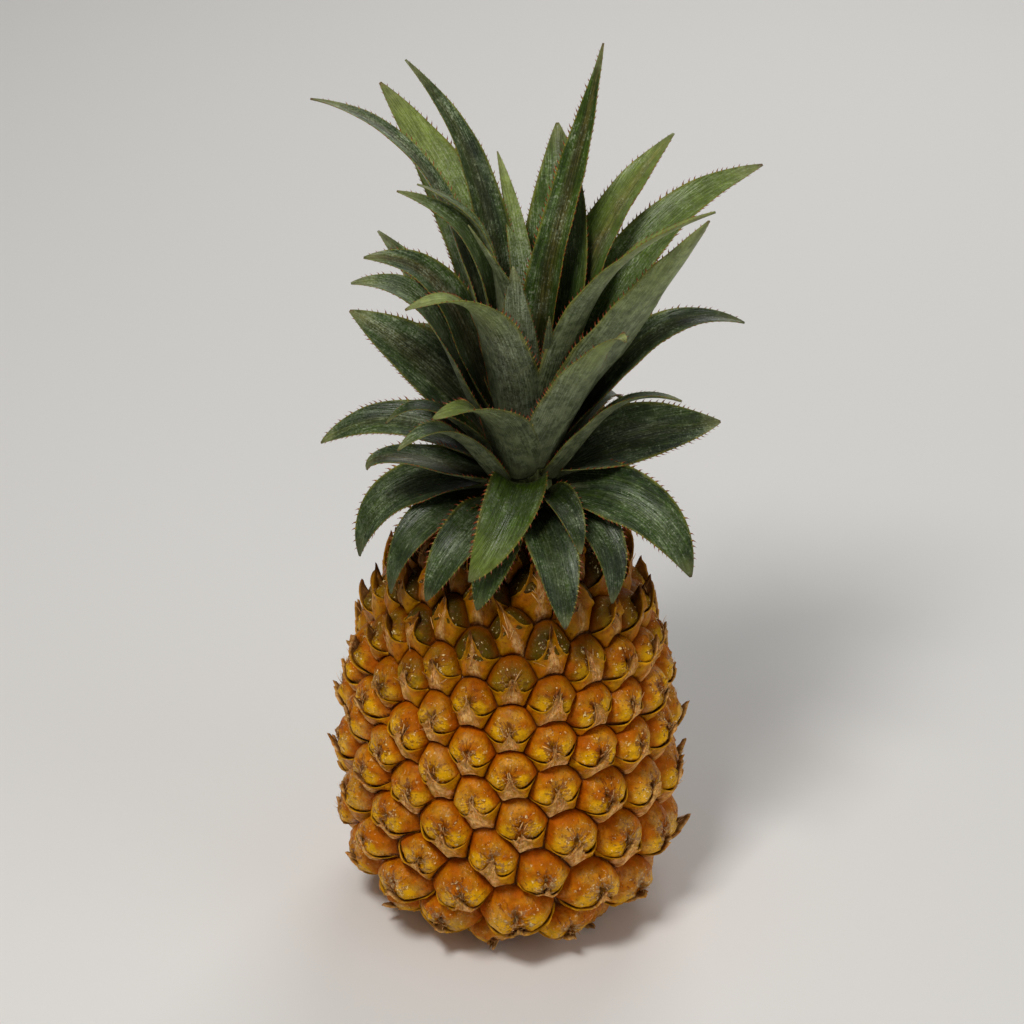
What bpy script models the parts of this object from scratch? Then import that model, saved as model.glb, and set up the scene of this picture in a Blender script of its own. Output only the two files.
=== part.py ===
"""A pineapple: one fruit of fused eyes, the cut end of its stalk, and a crown of separate leaves.

Metres, +Z up. The origin is the middle of the flat that the fruit stands on. Azimuths are in
degrees: 0 faces -Y, and positive values turn towards +X.
"""
import math

import bpy
import numpy as np

MM = 0.001
GAP = 0.3 * MM                      # what touching pieces keep between them

# The fruit: a turned body, full below and a little slimmer above
FRUIT_RADIUS = 55.5 * MM            # at the tops of the eyes
FRUIT_HEIGHT = 148.0 * MM
WIDEST_HEIGHT = 45.0 * MM
BOTTOM_FULLNESS = 3.1               # 2 would be an ellipse; more is squarer
TOP_FULLNESS = 2.2
FLAT_HEIGHT = 0.8 * MM              # the body is cut off here and stands on the flat
BODY_SEGMENTS = 66
BODY_RINGS = 42

# The eyes: one growth spiral, which shows as 8 rows one way and 13 rows the other way
EYE_COUNT = 174
FIRST_EYE_AZIMUTH = 201.8
DIVERGENCE = -137.33                # from one eye to the next
EYE_CROWDING = 0.35                 # how much smaller the eyes get towards the top
EYE_RELIEF = 5.0 * MM               # from the groove to the top of an eye
# The fruit grew unevenly, which slides its rows a little along the body and round it
SLIDE_ALONG = (0.10, -0.04, -0.06, -0.06, -0.03, -0.03)
SLIDE_ROUND = (-0.18, -0.21, 0.26, 0.15)

# The cut stalk, in a hollow under the fruit
STALK_RADIUS = 9.0 * MM
STALK_HEIGHT = 4.0 * MM
HOLLOW_WALL = 11.0 * MM

# The stem of the crown, which leans a little to +X
STEM_BOTTOM = FRUIT_HEIGHT + GAP
STEM_TOP = 196.0 * MM
STEM_FOOT_RADIUS = 10.5 * MM
STEM_TIP_RADIUS = 1.8 * MM
STEM_OFFSET = 4.0 * MM
STEM_LEAN = 0.06
SMOOTH_TOP = (11.0 * MM, 19.0 * MM)  # the eyes fade in between these radii at the top

# A leaf: a channelled blade that thins to its edges and tapers to its tip
LEAF_SECTIONS = 10
LEAF_THICKNESS = 0.8 * MM
NECK = 0.35                          # width of a blade at its base, as a share of its full width
NECK_END = 0.35                     # where along a blade it reaches its full width
TIP_WIDTH = 0.08                    # width of the blunt tip, as a share of the full width
CHANNEL_AT_BASE = 52.0              # half of the arc that the blade's section bends through
CHANNEL_AT_TIP = 22.0
HANDLE = 0.42                       # length of a spine's two handles, as a share of its span
ROLLED = 0.4                        # where along a blade its roll is complete

# The leaves, from the bottom of the crown up. In each row:
#   azimuth of the base, azimuth of the tip,
#   height of the base, reach of the tip from the stem, height of the tip, width,
#   slope of the middle line at the base, and at the tip,
#   how far the blade rolls to one side over its length,
#   and how strongly the tip end bends, where 1 is an even curve and less is a sharper hook.
# Angles are in degrees and lengths in millimetres.
LEAVES = (
    (16, 16, 150.0, 49, 129, 17.5, 22, -75, 0, 1.0),
    (-35, -42, 150.0, 45, 131, 15.5, 18, -72, -15, 1.0),
    (54, 39, 150.4, 45, 131, 14.0, 18, -80, 10, 1.0),
    (-68, -60, 150.6, 48, 128, 15.0, 12, -78, -15, 1.0),
    (104, 100, 151.0, 30, 153, 9.0, 50, -80, 0, 1.0),
    (-116, -105, 151.0, 42, 153, 12.0, 26, -35, -20, 1.0),
    (150, 150, 150.8, 47, 138, 16.0, 25, -60, 0, 1.0),
    (-150, -150, 151.0, 49, 134, 16.0, 20, -65, 0, 1.0),
    (180, 178, 153.0, 50, 148, 16.0, 36, -50, 0, 1.0),
    (-10, -21, 153.4, 40, 130, 16.5, 46, -80, 0, 1.0),
    (-88, -80, 155.0, 53, 133, 17.0, 16, -85, -30, 1.0),
    (30, 27, 153.6, 40, 149.5, 12.0, 60, -62, 0, 1.0),
    (68, 60, 154.0, 61, 138, 20.0, 20, -62, 35, 1.0),
    (-130, -130, 154.8, 56, 154, 16.0, 36, -40, 0, 1.0),
    (128, 128, 154.6, 56, 160, 17.0, 34, -25, 0, 1.0),
    (0, -24, 157.4, 42, 141, 18.0, 76, -70, 0, 1.0),
    (-70, -75, 157.3, 51, 167, 16.0, 32, -85, -10, 0.6),
    (94, 100, 158.2, 64, 171, 22.0, 36, -2, 40, 1.0),
    (-104, -100, 160.0, 66, 163, 15.0, 40, -40, -30, 1.0),
    (-45, -48, 158.6, 52, 186, 12.0, 54, -30, 0, 1.0),
    (163, 166, 158.8, 60, 176, 17.0, 50, -15, 0, 1.0),
    (62, 70, 160.4, 52, 194, 12.0, 52, -15, 0, 1.0),
    (-145, -145, 160.6, 62, 186, 17.0, 50, -5, 0, 1.0),
    (-14, -42, 162.2, 42, 195, 19.0, 72, -38, 0, 0.8),
    (128, 125, 162.0, 38, 174, 17.0, 56, -50, 10, 1.0),
    (-67, -70, 163.0, 46, 185, 11.0, 62, -48, 0, 1.0),
    (94, 95, 165.6, 69, 209, 16.0, 56, -22, 25, 1.0),
    (38, 38, 165.4, 49, 225, 22.0, 66, -62, 0, 0.3),
    (-116, -110, 165.8, 59, 206, 20.0, 50, 28, -30, 1.0),
    (-179, -160, 167.8, 48, 222, 16.0, 66, 30, 0, 1.0),
    (-17, -48, 169.6, 49, 233, 24.0, 86, -28, 0, 0.8),
    (69, 75, 169.8, 57, 254, 20.0, 64, 58, -35, 1.0),
    (-82, -85, 169.0, 54, 228, 14.0, 57, -8, -15, 1.0),
    (121, 115, 171.0, 82, 250, 17.0, 62, 12, 15, 1.0),
    (-102, -98, 173.0, 51, 231, 14.0, 66, -8, -25, 1.0),
    (48, 62, 174.0, 63, 264, 13.0, 75, 28, 0, 1.0),
    (-127, -125, 170.0, 57, 228, 13.0, 54, 35, 0, 1.0),
    (30, 17, 179.0, 22, 225, 4.6, 80, 70, 0, 1.0),
    (-11, -18, 176.6, 14, 238, 9.0, 81, 85, 0, 1.0),
    (-108, -110, 177.0, 71, 277, 14.0, 76, 2, 0, 1.0),
    (130, 130, 177.0, 60, 259, 18.0, 70, 32, 0, 1.0),
    (-76, -90, 180.2, 40, 257, 13.0, 77, 14, -25, 1.0),
    (165, 168, 172.4, 38, 248, 11.5, 64, 60, 0, 1.0),
    (-158, -135, 175.2, 65, 273, 17.0, 67, 54, 0, 1.0),
    (-70, -84, 183.4, 34, 261, 10.0, 78, 22, 0, 1.0),
    (-16, -54, 189.4, 23, 252, 5.5, 89, 66, 0, 1.0),
    (147, 143, 192.0, 37, 293, 16.0, 86, 76, 0, 1.0),
    (-146, -125, 183.0, 46, 289, 11.5, 71, 44, 0, 1.0),
    (-172, -162, 187.4, 32, 256.5, 7.5, 86, 52, 0, 1.0),
    (146, 167, 181.0, 41, 262, 12.0, 76, 60, 0, 1.0),
)

GREEN = (0.045, 0.085, 0.02, 1.0)
ORANGE = (0.38, 0.15, 0.012, 1.0)
STRAW = (0.36, 0.26, 0.14, 1.0)


def outward(azimuth):
    """The level direction that an azimuth in degrees points in."""
    turn = math.radians(azimuth)
    return np.array([math.sin(turn), -math.cos(turn), 0.0])


def body_radius(height):
    """Radius of the fruit at a height, to the tops of the eyes."""
    if height < WIDEST_HEIGHT:
        share = (WIDEST_HEIGHT - height) / WIDEST_HEIGHT
        fullness = BOTTOM_FULLNESS
    else:
        share = (height - WIDEST_HEIGHT) / (FRUIT_HEIGHT - WIDEST_HEIGHT)
        fullness = TOP_FULLNESS
    share = min(max(share, 0.0), 1.0)
    return FRUIT_RADIUS * (1.0 - share ** fullness) ** (1.0 / fullness)


def body_profile(count=600):
    """Radius and height from the bottom of the fruit to its top, finely spaced."""
    quarter = np.linspace(0.0, math.pi / 2, count // 2)
    low = WIDEST_HEIGHT * (1.0 - np.cos(quarter))
    high = WIDEST_HEIGHT + (FRUIT_HEIGHT - WIDEST_HEIGHT) * np.sin(quarter[1:])
    heights = np.concatenate([low, high])
    radii = np.array([body_radius(height) for height in heights])
    return radii, heights


def eye_centres():
    """Points at the middle of each eye, up the growth spiral with an even share of skin each."""
    radii, heights = body_profile()
    slant = np.hypot(np.diff(radii), np.diff(heights))
    skin = np.concatenate([[0.0], np.cumsum((radii[1:] + radii[:-1]) * slant)])
    skin /= skin[-1]
    centres = []
    for number in range(EYE_COUNT):
        share = (number + 0.5) / EYE_COUNT
        level = 2.0 * share - 1.0
        turn = math.radians(FIRST_EYE_AZIMUTH + number * DIVERGENCE)
        side, front = math.sin(turn), math.cos(turn)
        middle = 16.0 * (share * (1.0 - share)) ** 2
        along = SLIDE_ALONG[0] + SLIDE_ALONG[1] * side + SLIDE_ALONG[2] * front
        along += level * (SLIDE_ALONG[3] * side + SLIDE_ALONG[4] * front + SLIDE_ALONG[5])
        around = SLIDE_ROUND[0] * side + SLIDE_ROUND[1] * front
        around += level * (SLIDE_ROUND[2] * side + SLIDE_ROUND[3] * front)
        grown = share + EYE_CROWDING * share * (1.0 - share) + middle * along
        turn += middle * around
        height = float(np.interp(grown, skin, heights))
        radius = body_radius(height)
        centres.append((radius * math.sin(turn), -radius * math.cos(turn), height))
    return np.array(centres)


def closed_rings(rings, foot, crown):
    """Vertices and faces of a solid through rings of points, closed at two end points."""
    count = len(rings[0])
    points = [point for ring in rings for point in ring]
    faces = []
    for row in range(len(rings) - 1):
        for step in range(count):
            here = row * count + step
            beside = row * count + (step + 1) % count
            faces.append((here, beside, beside + count, here + count))
    points += [foot, crown]
    last = (len(rings) - 1) * count
    for step in range(count):
        beside = (step + 1) % count
        faces.append((beside, step, len(points) - 2))
        faces.append((last + step, last + beside, len(points) - 1))
    return points, faces


def material(name, colour, roughness):
    """A plain material for one kind of piece."""
    finish = bpy.data.materials.new(name)
    finish.use_nodes = True
    shader = finish.node_tree.nodes["Principled BSDF"]
    shader.inputs["Base Color"].default_value = colour
    shader.inputs["Roughness"].default_value = roughness
    shader.inputs["Metallic"].default_value = 0.0
    return finish


def add_piece(name, points, faces, finish):
    """One named object from a list of points and faces."""
    mesh = bpy.data.meshes.new(name)
    mesh.from_pydata([tuple(point) for point in points], [], faces)
    mesh.materials.append(finish)
    mesh.shade_smooth()
    piece = bpy.data.objects.new(name, mesh)
    bpy.context.scene.collection.objects.link(piece)
    return piece


def make_fruit(finish):
    """The whole fruit as one solid: domed eyes over the body, flat and hollow underneath."""
    radii, heights = body_profile()
    keep = heights > FLAT_HEIGHT
    radii, heights = radii[keep], heights[keep]
    length = np.concatenate([[0.0], np.cumsum(np.hypot(np.diff(radii), np.diff(heights)))])
    places = np.linspace(0.0, length[-1], BODY_RINGS + 1)[:-1]
    centres = eye_centres()
    rings = [
        [HOLLOW_WALL * outward(360.0 * step / BODY_SEGMENTS) + (0.0, 0.0, height)
         for step in range(BODY_SEGMENTS)]
        for height in (STALK_HEIGHT + GAP, 0.0)
    ]
    for place in places:
        radius = float(np.interp(place, length, radii))
        height = float(np.interp(place, length, heights))
        ahead = float(np.interp(place + MM, length, heights)) - height
        inward = radius - float(np.interp(place + MM, length, radii))
        fade = (radius - SMOOTH_TOP[0]) / (SMOOTH_TOP[1] - SMOOTH_TOP[0])
        fade = min(max(fade, 0.0), 1.0) if height > WIDEST_HEIGHT else 1.0
        ring = []
        for step in range(BODY_SEGMENTS):
            direction = outward(360.0 * step / BODY_SEGMENTS)
            point = radius * direction + (0.0, 0.0, height)
            normal = ahead * direction + (0.0, 0.0, inward)
            normal /= np.linalg.norm(normal)
            nearest = np.sort(np.linalg.norm(centres - point, axis=1))[:2]
            groove = (nearest[0] / nearest[1]) ** 3
            point = point - fade * EYE_RELIEF * groove * normal
            point[2] = max(point[2], 0.0)
            ring.append(point)
        rings.append(ring)
    foot = (0.0, 0.0, STALK_HEIGHT + GAP)
    points, faces = closed_rings(rings, foot, (0.0, 0.0, FRUIT_HEIGHT))
    return add_piece("fruit", points, faces, finish)


def turned(profile, centre_at, segments=20):
    """Points and faces of a solid turned about a line that centre_at gives for each height."""
    rings = [
        [centre_at(height) + radius * outward(360.0 * step / segments) for step in range(segments)]
        for radius, height in profile
    ]
    return closed_rings(rings, centre_at(profile[0][1]), centre_at(profile[-1][1]))


def make_stalk(finish):
    """The cut end of the fruit's stalk, level with the flat that the fruit stands on."""
    profile = ((STALK_RADIUS, 0.0), (STALK_RADIUS, STALK_HEIGHT))
    points, faces = turned(profile, lambda height: np.array([0.0, 0.0, height]))
    return add_piece("cut_stalk", points, faces, finish)


def stem_axis(height):
    """Where the middle of the leaning crown stem is at a height."""
    return np.array([STEM_OFFSET + STEM_LEAN * (height - STEM_BOTTOM), 0.0, height])


def stem_radius(height):
    """Radius of the crown stem, which narrows to its tip."""
    share = (height - STEM_BOTTOM) / (STEM_TOP - STEM_BOTTOM)
    return STEM_FOOT_RADIUS + share * (STEM_TIP_RADIUS - STEM_FOOT_RADIUS)


def make_stem(finish):
    """The short stem that the leaves of the crown sit on."""
    heights = np.linspace(STEM_BOTTOM, STEM_TOP, 5)
    profile = [(stem_radius(height), height) for height in heights]
    points, faces = turned(profile, stem_axis)
    return add_piece("crown_stem", points, faces, finish)


def leaf_spine(leaf, count):
    """Evenly spaced points along the middle of a leaf, and the azimuth at each of them."""
    base_azimuth, tip_azimuth, base_height, reach, tip_height, _, base_slope, tip_slope = leaf[:8]
    base_height = base_height * MM
    start = np.array([stem_radius(base_height) + 2.0 * GAP + LEAF_THICKNESS, base_height])
    end = np.array([reach * MM, tip_height * MM])
    handle = HANDLE * np.linalg.norm(end - start)
    slopes = [math.radians(slope) for slope in (base_slope, tip_slope)]
    first = start + handle * np.array([math.cos(slopes[0]), math.sin(slopes[0])])
    second = end - leaf[9] * handle * np.array([math.cos(slopes[1]), math.sin(slopes[1])])
    steps = np.linspace(0.0, 1.0, 81)[:, None]
    curve = (1 - steps) ** 3 * start + 3 * (1 - steps) ** 2 * steps * first
    curve += 3 * (1 - steps) * steps ** 2 * second + steps ** 3 * end
    turn = (tip_azimuth - base_azimuth + 180.0) % 360.0 - 180.0
    azimuths = base_azimuth + turn * steps[:, 0] ** 1.5
    axis = stem_axis(base_height)
    path = np.array([
        axis * (1, 1, 0) + out * outward(azimuth) + (0, 0, height)
        for (out, height), azimuth in zip(curve, azimuths)
    ])
    length = np.concatenate([[0.0], np.cumsum(np.linalg.norm(np.diff(path, axis=0), axis=1))])
    places = np.linspace(0.0, length[-1], count)
    spine = np.stack([np.interp(places, length, path[:, axis_]) for axis_ in range(3)], axis=1)
    return spine, np.interp(places, length, azimuths)


def blade_width(share):
    """Width of a leaf along its length, as a share of its full width."""
    neck = NECK + (1.0 - NECK) * math.sin(0.5 * math.pi * min(share / NECK_END, 1.0))
    return TIP_WIDTH + (1.0 - TIP_WIDTH) * neck * (1.0 - share ** 3) ** 0.85


def make_leaf(name, leaf, finish):
    """One leaf: channelled sections along its spine, thin at both edges."""
    spine, azimuths = leaf_spine(leaf, LEAF_SECTIONS)
    tangents = np.gradient(spine, axis=0)
    rings = []
    for index, (middle, azimuth) in enumerate(zip(spine, azimuths)):
        share = index / (LEAF_SECTIONS - 1)
        along = tangents[index] / np.linalg.norm(tangents[index])
        across = outward(azimuth + 90.0)
        across = across - across.dot(along) * along
        across /= np.linalg.norm(across)
        inner = np.cross(along, across)
        roll = math.radians(leaf[8]) * min(share / ROLLED, 1.0)
        across, inner = (math.cos(roll) * across + math.sin(roll) * inner,
                         math.cos(roll) * inner - math.sin(roll) * across)
        half = 0.5 * leaf[5] * MM * blade_width(share)
        bend = math.radians(CHANNEL_AT_BASE + share * (CHANNEL_AT_TIP - CHANNEL_AT_BASE))
        thickness = LEAF_THICKNESS * (1.0 - 0.35 * share)
        upper, lower = [], []
        for place in (-1.0, -0.5, 0.0, 0.5, 1.0):
            angle = place * bend
            side = half * math.sin(angle) / bend
            lift = half * (1.0 - math.cos(angle)) / bend
            point = middle + side * across + lift * inner
            facing = math.cos(angle) * inner - math.sin(angle) * across
            depth = thickness * (1.0 - 0.6 * abs(place))
            upper.append(point)
            lower.append(point - depth * facing)
        rings.append(lower + upper[::-1])
    foot = np.mean(rings[0], axis=0)
    tip = np.mean(rings[-1], axis=0) + MM * along
    points, faces = closed_rings(rings, foot, tip)
    return add_piece(name, points, faces, finish)


def build():
    """Clear the scene and make every piece."""
    for item in list(bpy.data.objects):
        bpy.data.objects.remove(item, do_unlink=True)
    rind = material("rind", ORANGE, 0.45)
    stalk = material("stalk_fibre", STRAW, 0.8)
    blade = material("leaf_green", GREEN, 0.5)
    make_fruit(rind)
    make_stalk(stalk)
    make_stem(stalk)
    for number, leaf in enumerate(LEAVES, start=1):
        make_leaf(f"leaf_{number:02d}", leaf, blade)


build()
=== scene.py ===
# %% [markdown]
# # A pineapple, from its skin to its crown
#
# A pineapple isn't one fruit but many, grown together round a stem. Each one shows on the
# skin as an "eye", and each eye stood in the arms of a small leaf, its bract. A short stem
# goes on above the fruit and carries the crown.
#
# The lesson builds the same things in the same order: the growth spiral that places the
# eyes, one cell of skin for each eye, its bract and the dry hairs on it, and then the
# leaves of the crown. The sizes come from the solid model, which is loaded first.

import math
from collections import namedtuple

import bmesh
import bpy
import numpy as np
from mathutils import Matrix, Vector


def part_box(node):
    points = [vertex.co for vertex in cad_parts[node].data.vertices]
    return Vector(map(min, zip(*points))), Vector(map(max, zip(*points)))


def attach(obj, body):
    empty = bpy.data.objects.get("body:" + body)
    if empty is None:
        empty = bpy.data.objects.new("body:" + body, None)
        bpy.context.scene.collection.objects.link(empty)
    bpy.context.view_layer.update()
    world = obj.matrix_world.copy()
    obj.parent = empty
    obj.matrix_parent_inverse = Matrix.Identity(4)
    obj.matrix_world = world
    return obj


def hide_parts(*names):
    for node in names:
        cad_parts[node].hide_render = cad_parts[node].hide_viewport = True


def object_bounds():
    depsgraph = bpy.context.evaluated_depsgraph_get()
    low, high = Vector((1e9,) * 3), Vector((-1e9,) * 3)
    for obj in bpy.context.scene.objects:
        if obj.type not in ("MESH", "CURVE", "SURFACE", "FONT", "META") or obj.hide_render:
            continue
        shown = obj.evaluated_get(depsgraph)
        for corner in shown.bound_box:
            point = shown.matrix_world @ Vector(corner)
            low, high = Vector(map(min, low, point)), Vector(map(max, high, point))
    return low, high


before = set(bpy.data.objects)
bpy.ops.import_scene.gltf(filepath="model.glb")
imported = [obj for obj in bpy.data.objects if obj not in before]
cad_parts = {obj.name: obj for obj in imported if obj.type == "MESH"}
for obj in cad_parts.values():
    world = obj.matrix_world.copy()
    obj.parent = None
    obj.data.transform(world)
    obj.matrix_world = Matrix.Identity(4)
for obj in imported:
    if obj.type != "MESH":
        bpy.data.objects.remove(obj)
solid_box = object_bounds()
MM = 0.001
fruit_low, fruit_high = (np.array(corner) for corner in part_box("fruit"))
stem_low, stem_high = (np.array(corner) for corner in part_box("crown_stem"))
print("fruit", np.round((fruit_high - fruit_low) / MM, 1), "mm")
print("stem", np.round((stem_high - stem_low) / MM, 1), "mm;", len(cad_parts), "solid nodes")

# %% [markdown]
# ## The camera, the floor and the light
#
# A still life needs little: a long lens, so that the fruit isn't stretched, a pale floor
# that curves up out of sight, and soft light. The long lens also keeps the eyes at the edge
# as tall as those in the middle.

# %% Camera
VIEW_HEIGHT = math.radians(30.0)
VIEW_DISTANCE = 1.15
VIEW_WIDTH = 0.328                  # what the camera takes in at the fruit, side to side
AIM_SIDE, AIM_SHARE = 0.001, 0.49   # it looks at a point just below half the height

look_at = np.array([AIM_SIDE, 0.0, AIM_SHARE * (solid_box[1][2] - solid_box[0][2])])
camera_data = bpy.data.cameras.new("camera")
camera_data.sensor_width = 36.0
camera_data.lens = camera_data.sensor_width * VIEW_DISTANCE / VIEW_WIDTH
camera_data.clip_start = 0.01
camera = bpy.data.objects.new("camera", camera_data)
camera.location = look_at + VIEW_DISTANCE * np.array([0.0, -math.cos(VIEW_HEIGHT), math.sin(VIEW_HEIGHT)])
camera.rotation_euler = (math.pi / 2 - VIEW_HEIGHT, 0.0, 0.0)
bpy.context.scene.collection.objects.link(camera)
bpy.context.scene.camera = camera
print("camera", round(camera_data.lens, 1), "mm lens,", VIEW_DISTANCE, "m away")

# %% [markdown]
# The key light is a fairly small softbox, high and a little to the left, because a small
# light makes crisp glints on waxy skin. A broad weak one on the right fills the shadows,
# and one behind draws a bright rim on the leaves. The world adds a little light from all
# round, so that nothing goes black.

# %% Lights
def add_softbox(name, place, size, power, warmth):
    """A square area light at a place, facing the middle of the object."""
    light = bpy.data.lights.new(name, "AREA")
    light.size = size
    light.energy = power
    light.color = warmth
    box = bpy.data.objects.new(name, light)
    box.location = place
    facing = np.array(look_at) - np.array(place)
    box.rotation_euler = (
        math.acos(-facing[2] / np.linalg.norm(facing)), 0.0, math.atan2(facing[1], facing[0]) - math.pi / 2,
    )
    bpy.context.scene.collection.objects.link(box)


add_softbox("key_light", (-0.28, -0.52, 1.07), size=0.26, power=7.8, warmth=(1.0, 0.98, 0.95))
add_softbox("fill_light", (0.85, -0.5, 0.5), size=0.7, power=1.6, warmth=(0.95, 0.97, 1.0))
add_softbox("back_light", (0.25, 0.9, 0.8), size=0.6, power=4.0, warmth=(1.0, 1.0, 1.0))

world = bpy.data.worlds.new("studio")
world.use_nodes = True
world.node_tree.nodes["Background"].inputs["Color"].default_value = (0.90, 0.89, 0.88, 1.0)
world.node_tree.nodes["Background"].inputs["Strength"].default_value = 0.20
bpy.context.scene.world = world
bpy.context.scene.view_settings.view_transform = "Standard"
print("lights", [item.name for item in bpy.context.scene.objects if item.type == "LIGHT"])

# %% [markdown]
# ## Helpers for materials
#
# Every finish here is made of nodes: small patterns that are worked out at each point of
# the surface. A `Field` is a number that changes over the surface. It takes part in sums
# like any other number, so `0.5 * rays + blots` adds the math nodes by itself.

# %% Fields
class Field:
    """An output of a node, with sums that add math nodes to its recipe."""

    def __init__(self, recipe, socket):
        self.recipe = recipe
        self.socket = socket

    def __add__(self, other):
        return self.recipe.math("ADD", self, other)

    def __sub__(self, other):
        return self.recipe.math("SUBTRACT", self, other)

    def __rsub__(self, other):
        return self.recipe.math("SUBTRACT", other, self)

    def __mul__(self, other):
        return self.recipe.math("MULTIPLY", self, other)

    def __truediv__(self, other):
        return self.recipe.math("DIVIDE", self, other)

    __radd__ = __add__
    __rmul__ = __mul__


print("fields can be added, subtracted, multiplied and divided")

# %% [markdown]
# A `Recipe` keeps the rest short. `ramp` turns one number into another with a soft step,
# `mix` blends two colours by a mask, and `layers` lays colours on one after another, each
# where its own mask lets it through, much as a painter glazes.

# %% Recipes
class Recipe:
    """A node tree with short calls for the nodes that the finishes here are made of."""

    def __init__(self, tree):
        self.tree = tree

    def wire(self, socket, value):
        """Join a field or an output to an input, or set a plain value on it."""
        if isinstance(value, Field):
            value = value.socket
        if isinstance(value, bpy.types.NodeSocket):
            self.tree.links.new(value, socket)
        elif isinstance(value, tuple) and len(value) == 3 and socket.type == "RGBA":
            socket.default_value = (*value, 1.0)
        else:
            socket.default_value = value

    def node(self, kind, **inputs):
        """A node of a kind, with its inputs wired by name."""
        made = self.tree.nodes.new(kind)
        for name, value in inputs.items():
            self.wire(made.inputs[name], value)
        return made

    def math(self, operation, first, second=0.0):
        """One sum on two numbers."""
        made = self.tree.nodes.new("ShaderNodeMath")
        made.operation = operation
        self.wire(made.inputs[0], first)
        self.wire(made.inputs[1], second)
        return Field(self, made.outputs[0])

    def ramp(self, value, low, high, bottom=0.0, top=1.0):
        """A soft step: bottom below low, top above high."""
        made = self.tree.nodes.new("ShaderNodeMapRange")
        made.interpolation_type = "SMOOTHSTEP"
        for slot, part in enumerate((value, low, high, bottom, top)):
            self.wire(made.inputs[slot], part)
        return Field(self, made.outputs[0])

    def mix(self, mask, first, second, blend="MIX"):
        """Two colours blended by a mask."""
        made = self.tree.nodes.new("ShaderNodeMix")
        made.data_type = "RGBA"
        made.blend_type = blend
        colours = [item for item in made.inputs if item.type == "RGBA"]
        self.wire(made.inputs[0], mask)
        self.wire(colours[0], first)
        self.wire(colours[1], second)
        return Field(self, made.outputs[2])

    def layers(self, colour, *coats):
        """A colour with others laid over it in order; each coat is a mask and its colour."""
        for mask, coat in coats:
            colour = self.mix(mask, colour, coat)
        return colour

    def attribute(self, name, output="Fac"):
        """A value stored on the mesh."""
        made = self.tree.nodes.new("ShaderNodeAttribute")
        made.attribute_name = name
        return Field(self, made.outputs[output])

    def place(self):
        """Where on the object a point is, in metres."""
        return Field(self, self.tree.nodes.new("ShaderNodeTexCoord").outputs["Object"])

    def axes(self, where):
        """The three numbers of a place."""
        return [Field(self, output) for output in self.node("ShaderNodeSeparateXYZ", Vector=where).outputs]

    def distance(self, across, up):
        """How far a place is from the middle, from its two sides."""
        return self.math("SQRT", self.math("POWER", across, 2.0) + self.math("POWER", up, 2.0))

    def noise(self, where, scale, detail=3.0, roughness=0.55):
        """Soft noise at a scale."""
        made = self.node("ShaderNodeTexNoise", Vector=where, Scale=scale, Detail=detail, Roughness=roughness)
        return Field(self, made.outputs[0])

    def surface(self, shader, colour, roughness, relief, strength, depth):
        """Wire a colour, a roughness and a relief into a shader; gives back the bumpy normal."""
        self.wire(shader.inputs["Base Color"], colour)
        self.wire(shader.inputs["Roughness"], roughness)
        bump = self.node("ShaderNodeBump", Strength=strength, Distance=depth, Height=relief)
        self.wire(shader.inputs["Normal"], bump.outputs[0])
        return bump.outputs[0]


print("a recipe can", [name for name in vars(Recipe) if not name.startswith("_")])

# %% [markdown]
# Three small makers go with them: a material with its recipe, a node group with its recipe,
# and a colour from the 0 to 255 steps that painters of screens are used to. Light adds up
# in a straight line and those steps don't, so `paint` straightens them first.

# %% Materials, groups and colours
def new_finish(name):
    """A material, its recipe and its shader."""
    finish = bpy.data.materials.new(name)
    finish.use_nodes = True
    recipe = Recipe(finish.node_tree)
    return finish, recipe, finish.node_tree.nodes["Principled BSDF"]


def new_group(name, inputs, outputs):
    """A node group with named inputs (and what they start at) and named outputs."""
    group = bpy.data.node_groups.new(name, "ShaderNodeTree")
    for label, kind, start in inputs:
        socket = group.interface.new_socket(label, in_out="INPUT", socket_type=kind)
        if start is not None:
            socket.default_value = start
    for label, kind in outputs:
        group.interface.new_socket(label, in_out="OUTPUT", socket_type=kind)
    entry = group.nodes.new("NodeGroupInput").outputs
    leave = group.nodes.new("NodeGroupOutput").inputs
    return group, Recipe(group), entry, leave


def paint(red, green, blue):
    """A colour from the usual 0 to 255 steps, as the light sums need it."""
    return tuple(((part / 255.0 + 0.055) / 1.055) ** 2.4 if part > 10 else part / 3295.0
                 for part in (red, green, blue))


NUMBER, COLOUR, VECTOR = "NodeSocketFloat", "NodeSocketColor", "NodeSocketVector"
print("a ripe orange is", np.round(paint(202, 132, 0), 3))

# %% [markdown]
# Two effects turn up on more than one finish, so each is a group. **Mottling** shifts a
# colour lighter and darker in blotches, as everything that grew has. **Fibres** are thin
# lines along one direction: on a leaf they are its veins, and on a bract its dry streaks.

# %% Shared effects
mottle_group, recipe, entry, leave = new_group(
    "mottling",
    [("Colour", COLOUR, (0.5, 0.5, 0.5, 1.0)), ("Where", VECTOR, None), ("Size", NUMBER, 300.0),
     ("Amount", NUMBER, 0.3)],
    [("Colour", COLOUR), ("Mask", NUMBER)],
)
coarse = recipe.noise(entry["Where"], entry["Size"], 4.0, 0.5)
factor = recipe.ramp(coarse, 0.3, 0.7, -1.0, 1.0) * entry["Amount"] + 1.0
tint = recipe.node("ShaderNodeCombineColor", Red=factor, Green=factor, Blue=factor)
recipe.wire(leave["Colour"], recipe.mix(1.0, entry["Colour"], tint.outputs[0], "MULTIPLY"))
recipe.wire(leave["Mask"], coarse)

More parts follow.
